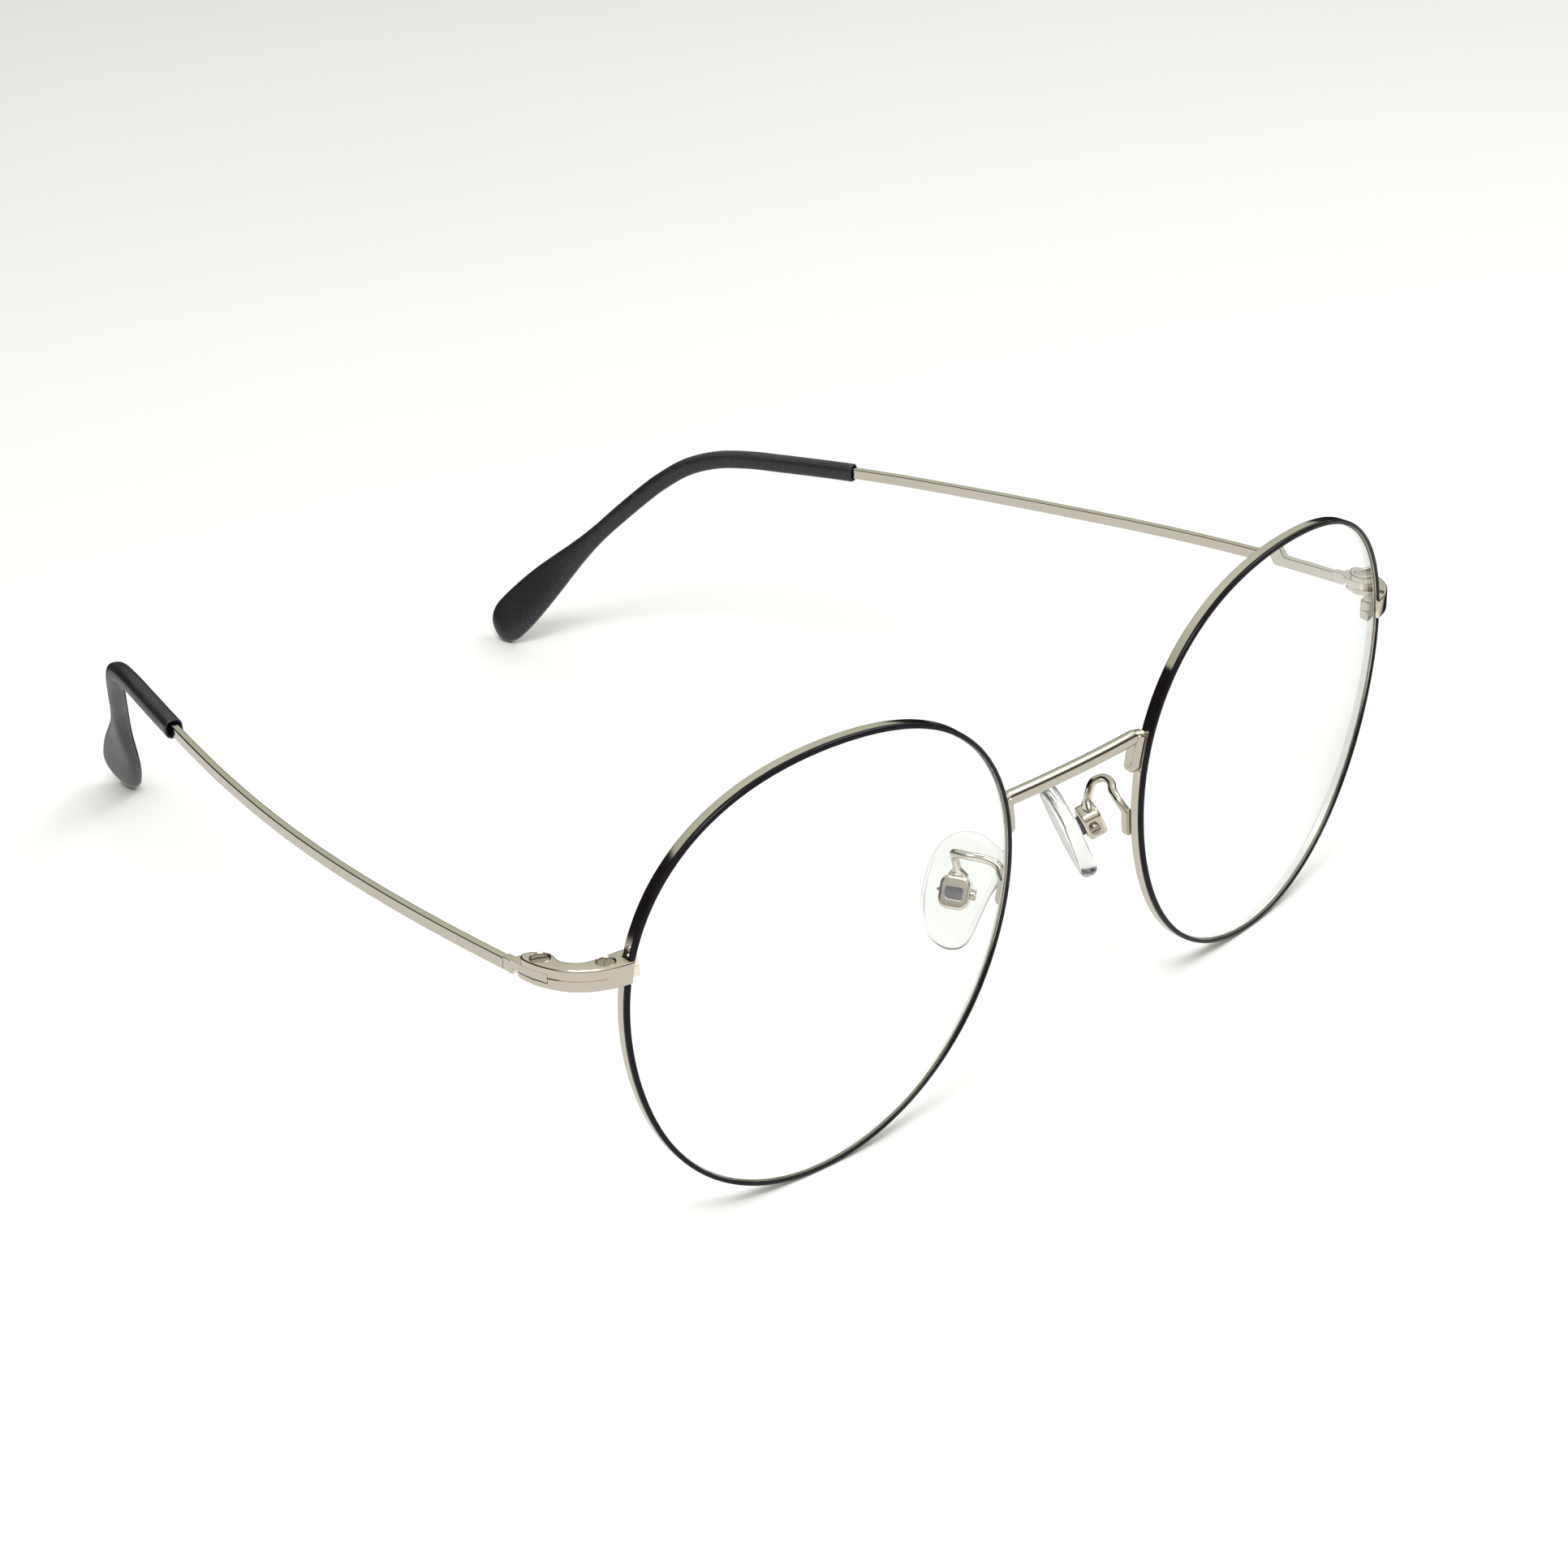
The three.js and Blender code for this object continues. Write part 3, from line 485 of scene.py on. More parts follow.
split_t = angle_at(SPLIT_Z, False)
half_gap = SPLIT_GAP / 2 / EYE_RADIUS
lap_t0, lap_t1 = angle_at(EP_BOT - 0.06, False), angle_at(EP_TOP + 0.06, False)

# ----------------------------------------------------------------------- rim
# Section as (outwards, back, enamelled?) round the wire; the enamel covers the
# front face and turns over the outer front corner.
sec, seg = [], []


def arc_pts(cx, cy, r, a0, a1, n):
    return [(cx + r * math.cos(math.radians(a0 + (a1 - a0) * i / n)), cy + r * math.sin(math.radians(a0 + (a1 - a0) * i / n)))
            for i in range(n + 1)]


inner_front = arc_pts(0.06, 0.06, 0.06, 180, 270, 3)
outer_front = arc_pts(RIM_T - 0.2, 0.2, 0.2, 270, 360, 7)
outer_back = arc_pts(RIM_T - 0.16, RIM_D - 0.16, 0.16, 0, 90, 6)
inner_back = arc_pts(0.07, RIM_D - 0.07, 0.07, 90, 180, 3)
groove = [(0, GROOVE_AT + 0.35), (0.2, GROOVE_AT), (0, GROOVE_AT - 0.35), (0, 0.30), (0, 0.27)]
pts = inner_front + [(0.18, -0.0)] + outer_front + [(RIM_T, 0.40)] + [(RIM_T, 0.44)] + outer_back + inner_back + groove
enamel_upto = len(inner_front) + 1 + len(outer_front)
rim_section = pts
rim_tags = [0 if i <= enamel_upto - 1 else 1 for i in range(len(pts))]
rim_tags[-1] = 0  # and turns over the inner front edge
for i_ in range(len(pts) - 6, len(pts) - 1):
    rim_tags[i_] = 2  # the inner wall: a duller finish than the polished outside, and its darker tint is painted shade

ts = list(np.linspace(split_t + half_gap, split_t + 2 * math.pi - half_gap, 420))
extra = []
for b in (lap_t1, lap_t0 + 2 * math.pi):
    extra += [b - 1e-5, b + 1e-5]
ts = np.array(sorted(ts + extra))


def in_lap(t):
    t = (t - split_t + math.pi) % (2 * math.pi) - math.pi + split_t
    return lap_t0 < t < lap_t1


rim_rings = []
for t in ts:
    low = LAP_D + 0.06 if in_lap(t) else -1
    rim_rings.append([rim_point(t, n, max(w_, low)) for n, w_ in rim_section])
rim_data = sweep(np.array(rim_rings), rim_tags, cap_tag=1)

# ---------------------------------------------------------------------- lens
lens_profile = [(0.0, LENS_FRONT), (0.25, LENS_FRONT), (0.5, LENS_FRONT), (0.75, LENS_FRONT), (0.92, LENS_FRONT),
                (0.985, LENS_FRONT), (1.0, LENS_FRONT + 0.015),
                (1.0, GROOVE_AT - 0.34), (1.2, GROOVE_AT), (1.0, GROOVE_AT + 0.34),
                (1.0, LENS_BACK - 0.015), (0.985, LENS_BACK), (0.92, LENS_BACK), (0.75, LENS_BACK), (0.5, LENS_BACK),
                (0.25, LENS_BACK), (0.0, LENS_BACK)]
NL = 300
lv, lf, lt = [], [], []
idx = []
for r_, w_ in lens_profile:
    row = []
    if r_ == 0:
        row = [len(lv)] * NL
        lv.append(rim_point(0, 0, w_, 0))
    else:
        for i in range(NL):
            t = 2 * math.pi * i / NL
            row.append(len(lv))
            lv.append(rim_point(t, max(r_ - 1, 0) - 0.08 * min(r_, 1), w_, min(r_, 1)))
    idx.append(row)
for k in range(len(idx) - 1):
    edge_band = 6 <= k <= 9
    for i in range(NL):
        j = (i + 1) % NL
        q = [idx[k][i], idx[k][j], idx[k + 1][j], idx[k + 1][i]]
        q = [a for n_, a in enumerate(q) if a not in q[:n_]]
        lf.append(tuple(q))
        lt.append(1 if edge_band else 0)
lens_data = (lv, lf, lt)

# ----------------------------------------------------------------- end piece
EP_OUTER = [
    [57.6, 4.12], [58.6, 4.13], [59.68, 4.36], [60.5, 4.62], [61.3, 4.96], [62.15, 5.43], [62.95, 6.0],
    [63.65, 6.67], [64.22, 7.4], [64.68, 8.2], [65.05, 9.1], [65.33, 10.05], [65.5, 11.0],
    [65.56, 11.8], [65.5, 12.45], [65.22, 12.9], [64.8, 13.05]]
EP_INNER = [
    [64.3, 12.85], [63.7, 12.4], [63.22, 11.8], [63.0, 11.1], [63.1, 10.45], [63.3, 9.8], [63.25, 9.2],
    [63.0, 8.6], [62.6, 8.05], [62.05, 7.6], [61.4, 7.32], [60.65, 7.2], [59.9, 7.1], [59.1, 6.98],
    [58.3, 6.85], [57.75, 6.7], [57.5, 6.3], [57.5, 4.6]]
ep_outline = resample(catmull(EP_OUTER + EP_INNER, 6, closed=True), 0.16)
knuckle_outline = resample(catmull([[65.45, 10.6], [65.5, 11.4], [65.54, 12.2], [65.5, 13.0], [65.2, 13.45], [64.7, 13.5],
                                    [64.0, 13.0], [63.4, 12.2], [63.6, 11.2]], 6, closed=True), 0.16)
near_t = 0.2


def along_rim(section, t0, t1, steps):
    return sweep(np.array([[rim_point(t0 + (t1 - t0) * i / steps, n, w_) for n, w_ in section] for i in range(steps + 1)]))


def rect(a0, a1, b0, b1):
    return [(a0, b0), (a1, b0), (a1, b1), (a0, b1)]


def pin_data(x, y, r, z0, z1, n=40):
    return lathe_data([(r, z0), (r, z1)], n, lambda a, b, c: (x + a, y + b, c))


def head_hole(o, x, y, r_head, r_hole):
    boolean(o, lathe_data([(r_head, EP_TOP - 0.38), (r_head, EP_TOP - 0.06), (r_head + 0.16, EP_TOP + 0.1), (r_head + 0.16, EP_TOP + 1)],
                          48, lambda a, b, c: (x + a, y + b, c)))
    boolean(o, pin_data(x, y, r_hole, EP_BOT - 1, EP_TOP + 1))


def make_end_piece():
    o = tool(prism(ep_outline, EP_BOT, EP_TOP, 0.28, r_low=0.16))
    boolean(o, prism(knuckle_outline, EP_BOT + 0.003, SLOT_LO - 0.003, 0.04, r_low=0.14), "UNION")
    boolean(o, along_rim(rect(-3, RIM_T + 0.05, LAP_D, RIM_D + 0.05), split_t - near_t, split_t + near_t, 28))
    boolean(o, along_rim(rect(-3, 0, -1.5, LAP_D + 0.1), split_t - near_t, split_t + near_t, 28))
    boolean(o, box_data(61, 67, SLOT_FRONT_Y, 15, SLOT_LO, SLOT_HI))
    room = [[57.0, 4.62], [59.6, 4.79], [60.43, 5.06], [61.19, 5.45], [61.76, 5.95], [62.08, 6.5], [61.82, 7.2], [61.6, 8.3], [57.0, 8.3]]
    r = tool(prism(np.array(room), EP_BOT - 0.5, SPLIT_Z + 0.02))
    boolean(r, along_rim(rect(-3, RIM_T + 2, -1.5, LAP_D + 0.02), split_t - near_t, split_t + near_t, 20))
    boolean(o, r)
    band = catmull(EP_OUTER[4:12], 8)
    ang = np.arctan2(band[:, 1] - 11, band[:, 0] - 58.5)
    dirs = np.stack([np.cos(ang), np.sin(ang)], 1)
    g = np.vstack([band + 0.25 * dirs, (band - 0.11 * dirs)[::-1]])
    boolean(o, prism(g, 32.18, 32.34))
    head_hole(o, HINGE_X, HINGE_Y, HEAD_R + 0.06, 0.6)
    head_hole(o, LOCK_X, LOCK_Y, HEAD_R + 0.01, 0.56)
    return o


def make_lock():
    outline = [[57.4, 4.7], [59.6, 4.85], [60.4, 5.12], [61.15, 5.5], [61.7, 5.98], [62.0, 6.5], [61.75, 7.12],
               [61.3, 7.28], [60.65, 7.2], [59.9, 7.1], [59.1, 6.98], [58.3, 6.85], [57.75, 6.7], [57.45, 6.3]]
    o = tool(prism(resample(catmull(outline, 5, closed=True), 0.16), EP_BOT, SPLIT_Z - 0.03, 0.04, r_low=0.12))
    boolean(o, along_rim(rect(-3, RIM_T + 0.05, LAP_D, RIM_D + 0.05), split_t - near_t, split_t + near_t, 28))
    boolean(o, along_rim(rect(-3, RIM_T + 3, -1.5, LAP_D + 0.08), split_t - near_t, split_t + near_t, 28))
    boolean(o, pin_data(LOCK_X, LOCK_Y, 0.56, EP_BOT - 1, EP_TOP + 1))
    return o


def make_screw(x, y, head_r, shank_r, z_top, head_h, z_end, ang):
    dome = [(head_r - 0.16 + 0.16 * math.cos(a), z_top - 0.17 + 0.13 * math.sin(a)) for a in np.linspace(0, math.pi / 2, 6)]
    prof = [(0, z_end), (shank_r - 0.08, z_end), (shank_r, z_end + 0.1), (shank_r, z_top - head_h), (head_r, z_top - head_h)]
    prof += dome + [(head_r * 0.5, z_top - 0.012), (0, z_top)]
    o = tool(lathe_data(prof, 48, lambda a, b, c: (x + a, y + b, c)))
    ca, sa = math.cos(ang), math.sin(ang)
    boolean(o, box_data(-2, 2, -0.13, 0.13, z_top - 0.23, z_top + 0.5, lambda a, b, c: (x + a * ca - b * sa, y + a * sa + b * ca, c)))
    return o


# -------------------------------------------------------------------- temple
temple = Line(TEMPLE_LINE, 40)


def temple_point(s, a, b, twist=0.0):
    c, t = temple.at(s), temple.tangent(s)
    side_ = unit(np.cross(t, (0, 0, 1)))
    up = unit(np.cross(side_, t))
    ct, st = math.cos(twist), math.sin(twist)
    return c + side_ * (a * ct - b * st) + up * (a * st + b * ct)


wire_sec = rounded_rect(WIRE_T / 2, WIRE_H / 2, 0.2, 5)
wire_s = np.linspace(0, WIRE_END, 260)
wire_data = sweep(np.array([[temple_point(s, a, b) for a, b in wire_sec] for s in wire_s]))


def tip_size(q):
    grow = smooth(q, 0.62, 0.93) ** 1.15
    h = TIP_H / 2 + (PADDLE_W / 2 - TIP_H / 2) * grow
    t = TIP_T / 2 + (PADDLE_T / 2 - TIP_T / 2) * smooth(q, 0.5, 0.9)
    e_ = max(0.0, (q - 0.94) / 0.06)
    h *= max(0.0, 1 - e_ ** 2.6) ** 0.5
    t *= math.sqrt(max(0.0, 1 - e_ ** 4))
    return t, h


def tip_section(t, h, n=40, power=2.6):
    out = []
    for i in range(n):
        a = 2 * math.pi * i / n
        c, s = math.cos(a), math.sin(a)
        out.append((t * math.copysign(abs(c) ** (2 / power), c), h * math.copysign(abs(s) ** (2 / power), s)))
    return out


def bore_section(extra, n=40):
    a, b = WIRE_T / 2 + extra, WIRE_H / 2 + extra
    return tip_section(a, b, n, 4.5)


def make_tip():
    rings = []
    mouth = MOUTH_S
    for s in np.linspace(WIRE_END + 0.003, mouth + 0.012, 60):
        rings.append([temple_point(s, a, b) for a, b in bore_section(BORE_GAP)])
    t0, h0 = tip_size(0.0)
    # flared mouth
    for k in np.linspace(0.15, 1.0, 6):
        s = mouth + 0.012 * (1 - k) + 0.001 * k
        rings.append([temple_point(s, a * (1 - k) + c_ * k, b * (1 - k) + d_ * k)
                      for (a, b), (c_, d_) in zip(bore_section(BORE_GAP), tip_section(t0 - 0.22, h0 - 0.22))])
    for k in np.linspace(0.1, 1.0, 6):
        th = math.pi / 2 * k
        s = mouth + 0.0025 * (1 - math.sin(th))
        ins = 0.22 - 0.22 * k
        rings.append([temple_point(mouth + 0.0012 * (1 - math.cos(th)), a, b) for a, b in tip_section(t0 - ins * math.cos(th), h0 - ins * math.cos(th))])
    qs = list(np.linspace(0.006, 0.93, 150)) + list(0.93 + 0.0685 * np.sin(np.linspace(0.02, math.pi / 2, 30)))
    for q in qs:
        t_, h_ = tip_size(q)
        tw = PADDLE_TWIST * smooth(q, 0.56, 0.91)
        s = mouth + (1 - mouth) * q
        rings.append([temple_point(s, a, b, tw) for a, b in tip_section(t_, h_)])
    return sweep(np.array(rings))


tip_data = make_tip()

tongue_arc = [[HINGE_X + 1.33 * math.cos(a), HINGE_Y + 1.33 * math.sin(a)] for a in np.linspace(-math.pi / 2, -math.pi, 12)]
tongue_outline = np.array([[65.1, 9.32], [65.28, 10.2], [65.45, 11.0], [65.5, 11.7], [65.52, 12.4], [65.5, 13.3], [65.48, 14.1], [64.44, 14.1],
                           [64.05, 13.5], [63.45, 12.7], [63.1, 11.9]] + tongue_arc[::-1] + [[HINGE_X, 9.32]])
neck_outline = np.array([[65.46, 13.9], [65.44, 14.4], [65.38, 15.33], [64.52, 15.33], [64.48, 14.4], [64.4, 13.9]])


def make_tongue():
    o = tool(prism(tongue_outline, SLOT_LO + 0.04, SLOT_HI - 0.04, 0.05))
    boolean(o, prism(neck_outline, 31.0, SLOT_HI - 0.25, 0.1), "UNION")
    boolean(o, pin_data(HINGE_X, HINGE_Y, 0.58, 28, 36))
    return o


# -------------------------------------------------------------------- bridge
bridge_sec = rounded_rect(BRIDGE_D / 2, BRIDGE_H / 2, 0.6, 10)


def bridge_line(z):
    x = (z - 0.5) * 2 * 11.6
    k = min(1, abs(x) / 9.8)
    return np.array([x, 0.65 + 0.22 * k * k, 33.7 + 0.05 * k * k - max(0, abs(x) - 9.8) * 0.2])


def make_bridge():
    rings = []
    for z in np.linspace(0, 1, 120):
        c, l, r = bridge_line(z), bridge_line(max(0, z - 0.01)), bridge_line(min(1, z + 0.01))
        t = unit(r - l)
        up = unit([-t[2], 0, t[0]])
        rings.append([c + up * b + np.array([0, a, 0]) for a, b in bridge_sec])
    o = tool(sweep(np.array(rings)))
    clear_ = along_rim(rect(-4, RIM_T + 0.05, -3, 4), angle_at(37, True), angle_at(27, True), 40)
    mirror_ = ([np.array([-v[0], v[1], v[2]]) for v in clear_[0]], clear_[1])
    boolean(o, clear_)
    boolean(o, mirror_)
    t0, t1 = angle_at(33.9, True), angle_at(29.6, True)
    rings = []
    for i in range(41):
        k = i / 40
        # the tab narrows to a rounded end
        e0 = max(0.0, (0.05 - k) / 0.05)
        e1 = max(0.0, (k - 0.82) / 0.18)
        f = math.sqrt(max(0.02, 1 - e1 ** 2)) * math.sqrt(max(0.02, 1 - e0 ** 2))
        lo, hi = RIM_T + 0.05, 1.7
        n1 = lo + (hi - lo) * (0.35 + 0.65 * f)
        w0, w1 = 1.175 - 0.675 * f, 1.175 + 0.675 * f
        c = min(0.3, (w1 - w0) * 0.35)
        s_ = [(lo, w0), (n1 - c, w0)]
        s_ += [(n1 - c + c * math.sin(a), w0 + c - c * math.cos(a)) for a in np.linspace(0.2, math.pi / 2, 5)]
        s_ += [(n1 - c + c * math.cos(a), w1 - c + c * math.sin(a)) for a in np.linspace(0.0, math.pi / 2, 6)]
        s_ += [(lo, w1)]
        rings.append([rim_point(t0 + (t1 - t0) * k, n, w_) for n, w_ in s_])
    foot = sweep(np.array(rings))
    boolean(o, foot, "UNION")
    boolean(o, ([np.array([-v[0], v[1], v[2]]) for v in foot[0]], foot[1]), "UNION")
    return o


# ------------------------------------------------------------------ nose pad
N = unit([-0.775, 0.478, -0.413])
LONG = np.array([-0.362, 0.126, 0.923])
E1 = unit(LONG - N * LONG.dot(N))
E2 = np.cross(E1, N)


def pad_place(a, b, t):
    return PAD_CENTRE + E2 * a + E1 * b + N * t


def octo(w_, h_, c_):
    return np.array([[w_ / 2 - c_, -h_ / 2], [w_ / 2, -h_ / 2 + c_], [w_ / 2, h_ / 2 - c_], [w_ / 2 - c_, h_ / 2],
                     [-w_ / 2 + c_, h_ / 2], [-w_ / 2, h_ / 2 - c_], [-w_ / 2, -h_ / 2 + c_], [-w_ / 2 + c_, -h_ / 2]])


def cross_pin(r, a0, a1, n=32):
    return lathe_data([(r, a0), (r, a1)], n, lambda x, y, z: pad_place(z, x, y))


BOX_BACK, BOX_FRONT = -1.25, 0.95
pad_sharp = 35


def make_box():
    o = tool(prism(resample(rounded_rect(BOX_W / 2, BOX_H / 2, 1.0, 8), 0.12), BOX_BACK, BOX_FRONT, 0.36, pad_place, 6))
    boolean(o, prism(resample(rounded_rect(1.1, 1.25, 0.3, 4), 0.1), -0.8, 2, 0, pad_place))
    boolean(o, prism(resample(rounded_rect(0.95, 0.72, 0.25, 4) + np.array([0, -0.125]), 0.1), -2, 0, 0, pad_place))
    boolean(o, cross_pin(0.42, -3, 3))
    return o


def make_pad_screw():
    # a pointed end, and a cheese head at the other
    o = tool(lathe_data([(0, -2.05), (0.08, -2.03), (0.36, -1.62), (0.36, 1.75), (0, 1.75)], 32, lambda x, y, z: pad_place(z, x, y)))
    head = [(0.36, BOX_W / 2 + 0.05)] + [(0.6, BOX_W / 2 + 0.05)]
    head += [(0.6 - 0.12 + 0.12 * math.cos(a), 2.03 + 0.12 * math.sin(a)) for a in np.linspace(0, math.pi / 2, 5)] + [(0, 2.15)]
    boolean(o, lathe_data([(0, BOX_W / 2 + 0.05)] + head[1:], 32, lambda x, y, z: pad_place(z, x, y)), "UNION")
    boolean(o, box_data(1.98, 2.6, -0.09, 0.09, -1, 1, lambda a, b, c: pad_place(a, b, c)))
    return o


def make_mount():
    o = tool(prism(resample(rounded_rect(0.95, 0.8, 0.28, 4), 0.08), -0.55, PAD_STANDOFF - PAD_T / 2 - 0.04, 0.08, pad_place, 3))
    boolean(o, cross_pin(0.44, -3, 3))
    return o


PAD_OUTLINE = np.array([
    [-0.07, 6.38], [-1.55, 5.85], [-2.81, 4.6], [-3.6, 2.6], [-3.94, -0.2], [-3.78, -2.4], [-3.1, -4.4], [-2.12, -5.6],
    [-0.9, -6.3], [0.26, -6.35], [1.2, -5.9], [1.85, -5.0], [2.69, -2.08], [3.45, 0.7], [3.88, 2.6], [3.85, 3.8],
    [3.24, 5.0], [1.81, 6.09]])


def make_pad():
    out = resample(catmull(PAD_OUTLINE, 8, closed=True), 0.2)
    lo, hi = PAD_STANDOFF - PAD_T / 2, PAD_STANDOFF + PAD_T / 2
    rings = []
    layers = [(0.06, lo), (0.35, lo), (0.7, lo + 0.0), (0.88, lo + 0.03)]
    layers += [(1 - 0.13 * (1 - math.cos(a)) ** 1.0 if a >= 0 else 1 - 0.13 * (1 - math.cos(a)), (lo + hi) / 2 + (PAD_T / 2) * math.sin(a))
               for a in np.linspace(-math.pi / 2 * 0.92, math.pi / 2 * 0.88, 12)]
    layers += [(0.86, hi - 0.03), (0.7, hi + 0.0), (0.35, hi + 0.0), (0.06, hi + 0.0)]
    for k, z in layers:
        rings.append([pad_place(x * k, y * k, z) for x, y in out])
    return sweep(np.array(rings))


arm_line = Line([rim_point(angle_at(24.5, True), 0.5, RIM_D + 0.46), (10.1, 2.75, 25.7), (10.65, 3.94, 26.18),
                 (11.7, 5.14, 26.5), (12.0, 6.5, 26.45), (11.45, 7.4, 25.84),
                 (10.95, 7.55, 24.64), pad_place(0.05, BOX_H / 2 - 0.1, -0.25)], 30)


def make_arm():
    steps = 110
    frames = [None] * (steps + 1)
    s_ = E2.copy()
    for i in range(steps, -1, -1):
        t = arm_line.tangent(i / steps, 4e-3)
        s_ = unit(s_ - t * s_.dot(t))
        frames[i] = (s_, unit(np.cross(t, s_)))
    rings = []
    for i in range(steps + 1):
        z = i / steps
        c = arm_line.at(z)
        wide = 1 + 1.5 * smooth(z, 0.88, 1)
        a1, a2 = frames[i]
        rings.append([c + a1 * math.cos(q) * ARM_R * wide + a2 * math.sin(q) * ARM_R for q in np.linspace(0, 2 * math.pi, 24, endpoint=False)])
    o = tool(sweep(np.array(rings)))
    t0, t1 = angle_at(24.9, True), angle_at(21.6, True)
    rings = []
    for i in range(31):
        k = i / 30
        e0, e1 = max(0.0, (0.14 - k) / 0.14), max(0.0, (k - 0.8) / 0.2)
        f = math.sqrt(max(0.03, 1 - e0 ** 2)) * math.sqrt(max(0.03, 1 - e1 ** 2))
        n0, n1, w0, w1 = 0.5 - 0.45 * f, 0.5 + 0.45 * f, RIM_D + 0.05, RIM_D + 0.05 + 0.8 * (0.4 + 0.6 * f)
        c = 0.22 * f
        s2 = [(n0, w0), (n1, w0)] + [(n1 - c + c * math.cos(a), w1 - c + c * math.sin(a)) for a in np.linspace(0, math.pi / 2, 5)]
        s2 += [(n0 + c - c * math.sin(a), w1 - c + c * math.cos(a)) for a in np.linspace(0, math.pi / 2, 5)]
        rings.append([rim_point(t0 + (t1 - t0) * k, n, w_) for n, w_ in s2])
    boolean(o, sweep(np.array(rings)), "UNION")
    boolean(o, prism(octo(BOX_W + 0.1, BOX_H + 0.1, 0.9), BOX_BACK - 0.5, BOX_FRONT + 0.5, 0, pad_place))
    boolean(o, along_rim(rect(-2, 2.5, -1, RIM_D + 0.05), angle_at(28, True), angle_at(19, True), 30))
    return o


# ---------------------------------------------------------------- assembling
for side, sname in ((1, "left"), (-1, "right")):
    body, pad = f"{sname}_temple", f"{sname}_pad"
    piece(f"{sname}_rim_wire", rim_data, "front", [ENAMEL, NICKEL, NICKEL_WALL_SHADED], [f"{sname}_rim"], side)
    piece(f"{sname}_lens_clear", lens_data, "front", [LENS, LENS_EDGE], [f"{sname}_lens"], side, sharp=25)
    piece(f"{sname}_end_piece_fine", make_end_piece(), "front", [NICKEL_CAST], [f"{sname}_end_piece"], side, 30)
    piece(f"{sname}_lock_fine", make_lock(), "front", [NICKEL_CAST], [f"{sname}_rim_lock"], side, 30)
    piece(f"{sname}_rim_screw_fine", make_screw(LOCK_X, LOCK_Y, HEAD_R - 0.04, 0.5, EP_TOP - 0.02, 0.33, EP_BOT + 0.02, -0.7),
          "front", [SCREW], [f"{sname}_rim_screw"], side, 30)
    piece(f"{sname}_hinge_screw_fine", make_screw(HINGE_X, HINGE_Y, HEAD_R, 0.52, EP_TOP - 0.02, 0.33, EP_BOT + 0.02, 0.5),
          "front", [SCREW], [f"{sname}_hinge_screw"], side, 30)
    piece(f"{sname}_pad_arm_fine", make_arm(), "front", [NICKEL], [f"{sname}_pad_arm"], side, 40)
    piece(f"{sname}_pad_box_fine", make_box(), "front", [NICKEL_CAST], [f"{sname}_pad_box"], side, 35)
    piece(f"{sname}_pad_screw_fine", make_pad_screw(), "front", [SCREW], [f"{sname}_pad_screw"], side, 35)
    piece(f"{sname}_pad_mount_fine", make_mount(), pad, [MOUNT], [f"{sname}_pad_mount"], side, 35)
    piece(f"{sname}_nose_pad_clear", make_pad(), pad, [SILICONE], [f"{sname}_nose_pad"], side, 60)
    piece(f"{sname}_tongue_fine", make_tongue(), body, [NICKEL_CAST], [f"{sname}_hinge_tongue"], side, 30)
    piece(f"{sname}_temple_wire_fine", wire_data, body, [NICKEL], [f"{sname}_temple_wire"], side, 40)
    piece(f"{sname}_tip_sleeve", tip_data, body, [SLEEVE], [f"{sname}_temple_tip"], side, 50)
piece("bridge_fine", make_bridge(), "front", [NICKEL], ["bridge"], 1, 35)

# --------------------------------------------------------------------- stage
fl = bpy.data.meshes.new("floor")
bm = bmesh.new()
bmesh.ops.create_grid(bm, x_segments=24, y_segments=24, size=3.0)
bm.to_mesh(fl)
bm.free()
floor = link(fl, "floor")
floor.location = (0, 0, -0.00002)
fl.materials.append(FLOOR)

scene = bpy.context.scene
world = bpy.data.worlds.new("studio")
scene.world = world
world.use_nodes = True
wn = world.node_tree
bg = wn.nodes["Background"]
tc = wn.nodes.new("ShaderNodeTexCoord")
sep = wn.nodes.new("ShaderNodeSeparateXYZ")
wn.links.new(tc.outputs["Generated"], sep.inputs[0])


def world_ramp(stops, height=None):
    """Colour by height above the horizon: stops are (sine of the elevation, colour)."""
    mr_ = wn.nodes.new("ShaderNodeMapRange")
    mr_.inputs["From Min"].default_value = -1
    mr_.inputs["From Max"].default_value = 1
    wn.links.new(height or sep.outputs["Z"], mr_.inputs["Value"])
    r_ = wn.nodes.new("ShaderNodeValToRGB")
    while len(r_.color_ramp.elements) < len(stops):
        r_.color_ramp.elements.new(0.5)
    for e_, (z_, c_) in zip(r_.color_ramp.elements, stops):
        e_.position = (z_ + 1) / 2
        e_.color = (*c_, 1)
    wn.links.new(mr_.outputs["Result"], r_.inputs["Fac"])
    return r_.outputs["Color"]


TABLE, BAND, CEIL, FRONT = (0.76, 0.755, 0.74), (0.014, 0.011, 0.014), (0.50, 0.53, 0.44), (0.86, 0.86, 0.84)
# Behind the object the surroundings are dark up to a slanting upper edge.
slant = wn.nodes.new("ShaderNodeMath")
slant.operation = "MULTIPLY_ADD"
wn.links.new(sep.outputs["X"], slant.inputs[0])
slant.inputs[1].default_value = 0.32
wn.links.new(sep.outputs["Z"], slant.inputs[2])
behind = world_ramp([(-1, TABLE), (-0.34, TABLE), (-0.26, BAND), (0.40, BAND), (0.44, CEIL), (1, (0.74, 0.76, 0.70))], slant.outputs[0])
before = world_ramp([(-1, TABLE), (-0.14, TABLE), (-0.06, (0.20, 0.14, 0.10)), (0.16, (0.10, 0.07, 0.05)), (0.30, (0.05, 0.045, 0.05)),
                     (0.46, (0.10, 0.10, 0.10)), (0.52, (0.92, 0.92, 0.90)), (0.74, FRONT), (0.80, CEIL), (1, (0.70, 0.72, 0.66))])
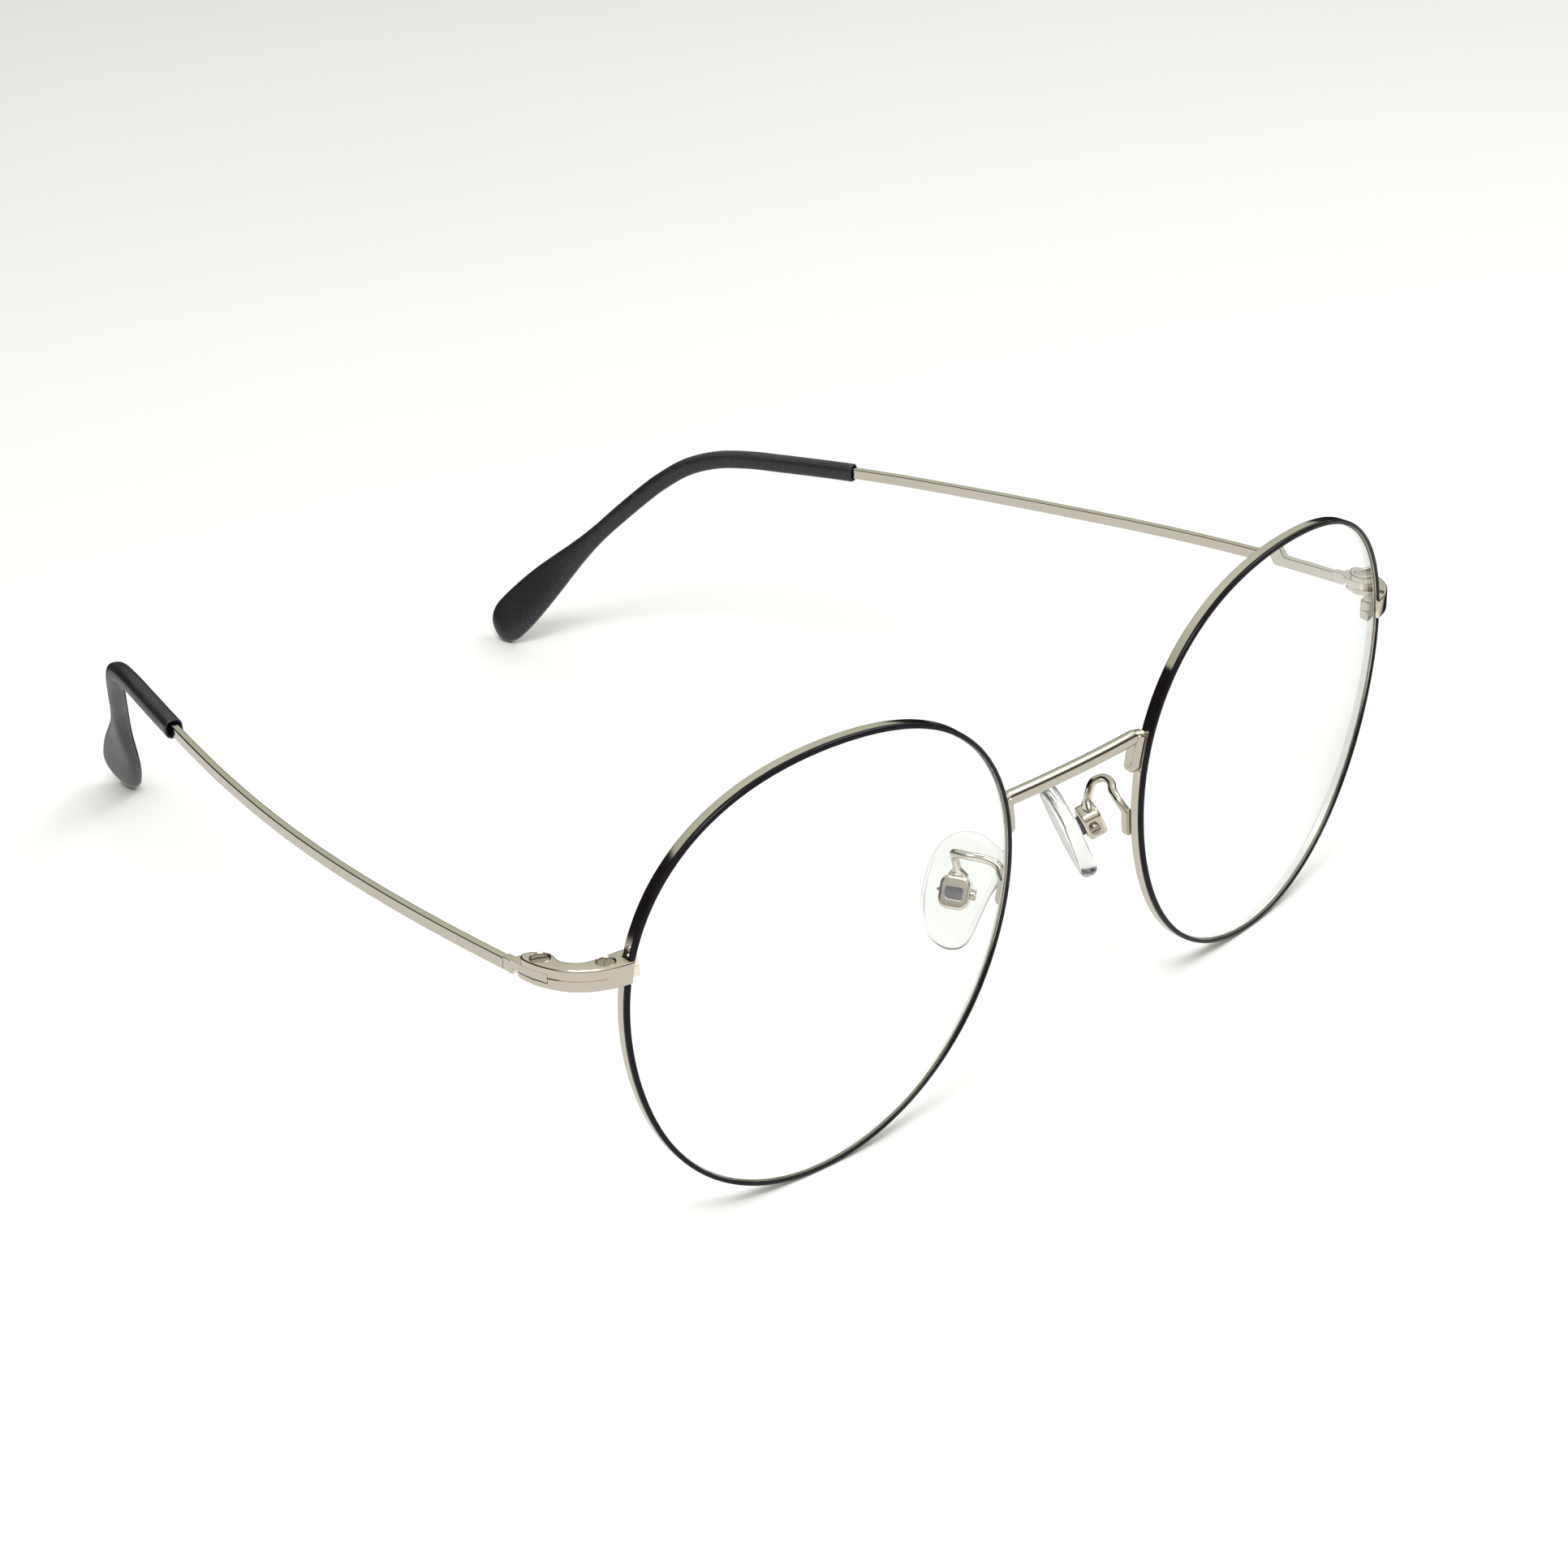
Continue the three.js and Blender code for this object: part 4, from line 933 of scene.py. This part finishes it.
before_left = world_ramp([(-1, TABLE), (-0.14, TABLE), (-0.05, (0.36, 0.23, 0.13)), (0.12, (0.22, 0.15, 0.10)), (0.28, (0.56, 0.54, 0.49)),
                          (0.6, (0.82, 0.82, 0.79)), (1, (0.72, 0.74, 0.68))])
hand = wn.nodes.new("ShaderNodeMapRange")
hand.inputs["From Min"].default_value = -0.15
hand.inputs["From Max"].default_value = 0.10
wn.links.new(sep.outputs["X"], hand.inputs["Value"])
front_mix = wn.nodes.new("ShaderNodeMix")
front_mix.data_type = "RGBA"
wn.links.new(hand.outputs["Result"], front_mix.inputs["Factor"])
wn.links.new(before_left, front_mix.inputs["A"])
wn.links.new(before, front_mix.inputs["B"])
side_ = wn.nodes.new("ShaderNodeMapRange")
side_.inputs["From Min"].default_value = -0.15
side_.inputs["From Max"].default_value = 0.05
wn.links.new(sep.outputs["Y"], side_.inputs["Value"])
wm = wn.nodes.new("ShaderNodeMix")
wm.data_type = "RGBA"
wn.links.new(side_.outputs["Result"], wm.inputs["Factor"])
wn.links.new(front_mix.outputs["Result"], wm.inputs["A"])
wn.links.new(behind, wm.inputs["B"])
wn.links.new(wm.outputs["Result"], bg.inputs["Color"])
bg.inputs["Strength"].default_value = 1.0
floor.visible_glossy = False


def area(name, loc, target, size, power, size_y=None, colour=(1, 1, 1)):
    l = bpy.data.lights.new(name, "AREA")
    l.shape = "RECTANGLE"
    l.size = size
    l.size_y = size_y or size
    l.energy = power
    l.color = colour
    o = bpy.data.objects.new(name, l)
    scene.collection.objects.link(o)
    o.location = loc
    d = Vector(target) - Vector(loc)
    o.rotation_euler = d.to_track_quat("-Z", "Y").to_euler()
    return o


area("key", (-0.32, -0.30, 0.70), (0, 0, 0), 0.40, 3.9, 0.26)
area("fill", (0.45, -0.10, 0.62), (0, 0, 0.0), 0.4, 1.4, 0.3)

# -------------------------------------------------------------------- camera
AZ, EL, ROLL, DIST, FOC = -0.7744931, 0.4507924, -0.0232978, 412.473, 3976.295
target = np.array([26.8646, 70.6509, 0.0])
back = np.array([math.sin(AZ) * math.cos(EL), -math.cos(AZ) * math.cos(EL), math.sin(EL)])
fwd = -back
right = unit(np.cross(fwd, (0, 0, 1)))
up = np.cross(right, fwd)
cr, sr = math.cos(ROLL), math.sin(ROLL)
r2, u2 = right * cr + up * sr, -right * sr + up * cr
pos = (target + back * DIST + SHIFT) / 1000
cam = bpy.data.cameras.new("camera")
cam.sensor_width = 36
cam.lens = FOC / 1932 * 36
cam.shift_x = -(969.918 - 966) / 1932
cam.shift_y = (959.376 - 966) / 1932
cam.clip_start = 0.01
cam.dof.use_dof = False
camera = bpy.data.objects.new("camera", cam)
scene.collection.objects.link(camera)
M = Matrix((
    (r2[0], u2[0], back[0], pos[0]),
    (r2[1], u2[1], back[1], pos[1]),
    (r2[2], u2[2], back[2], pos[2]),
    (0, 0, 0, 1)))
camera.matrix_world = M
scene.camera = camera
scene.view_settings.view_transform = "Standard"

bpy.context.view_layer.update()
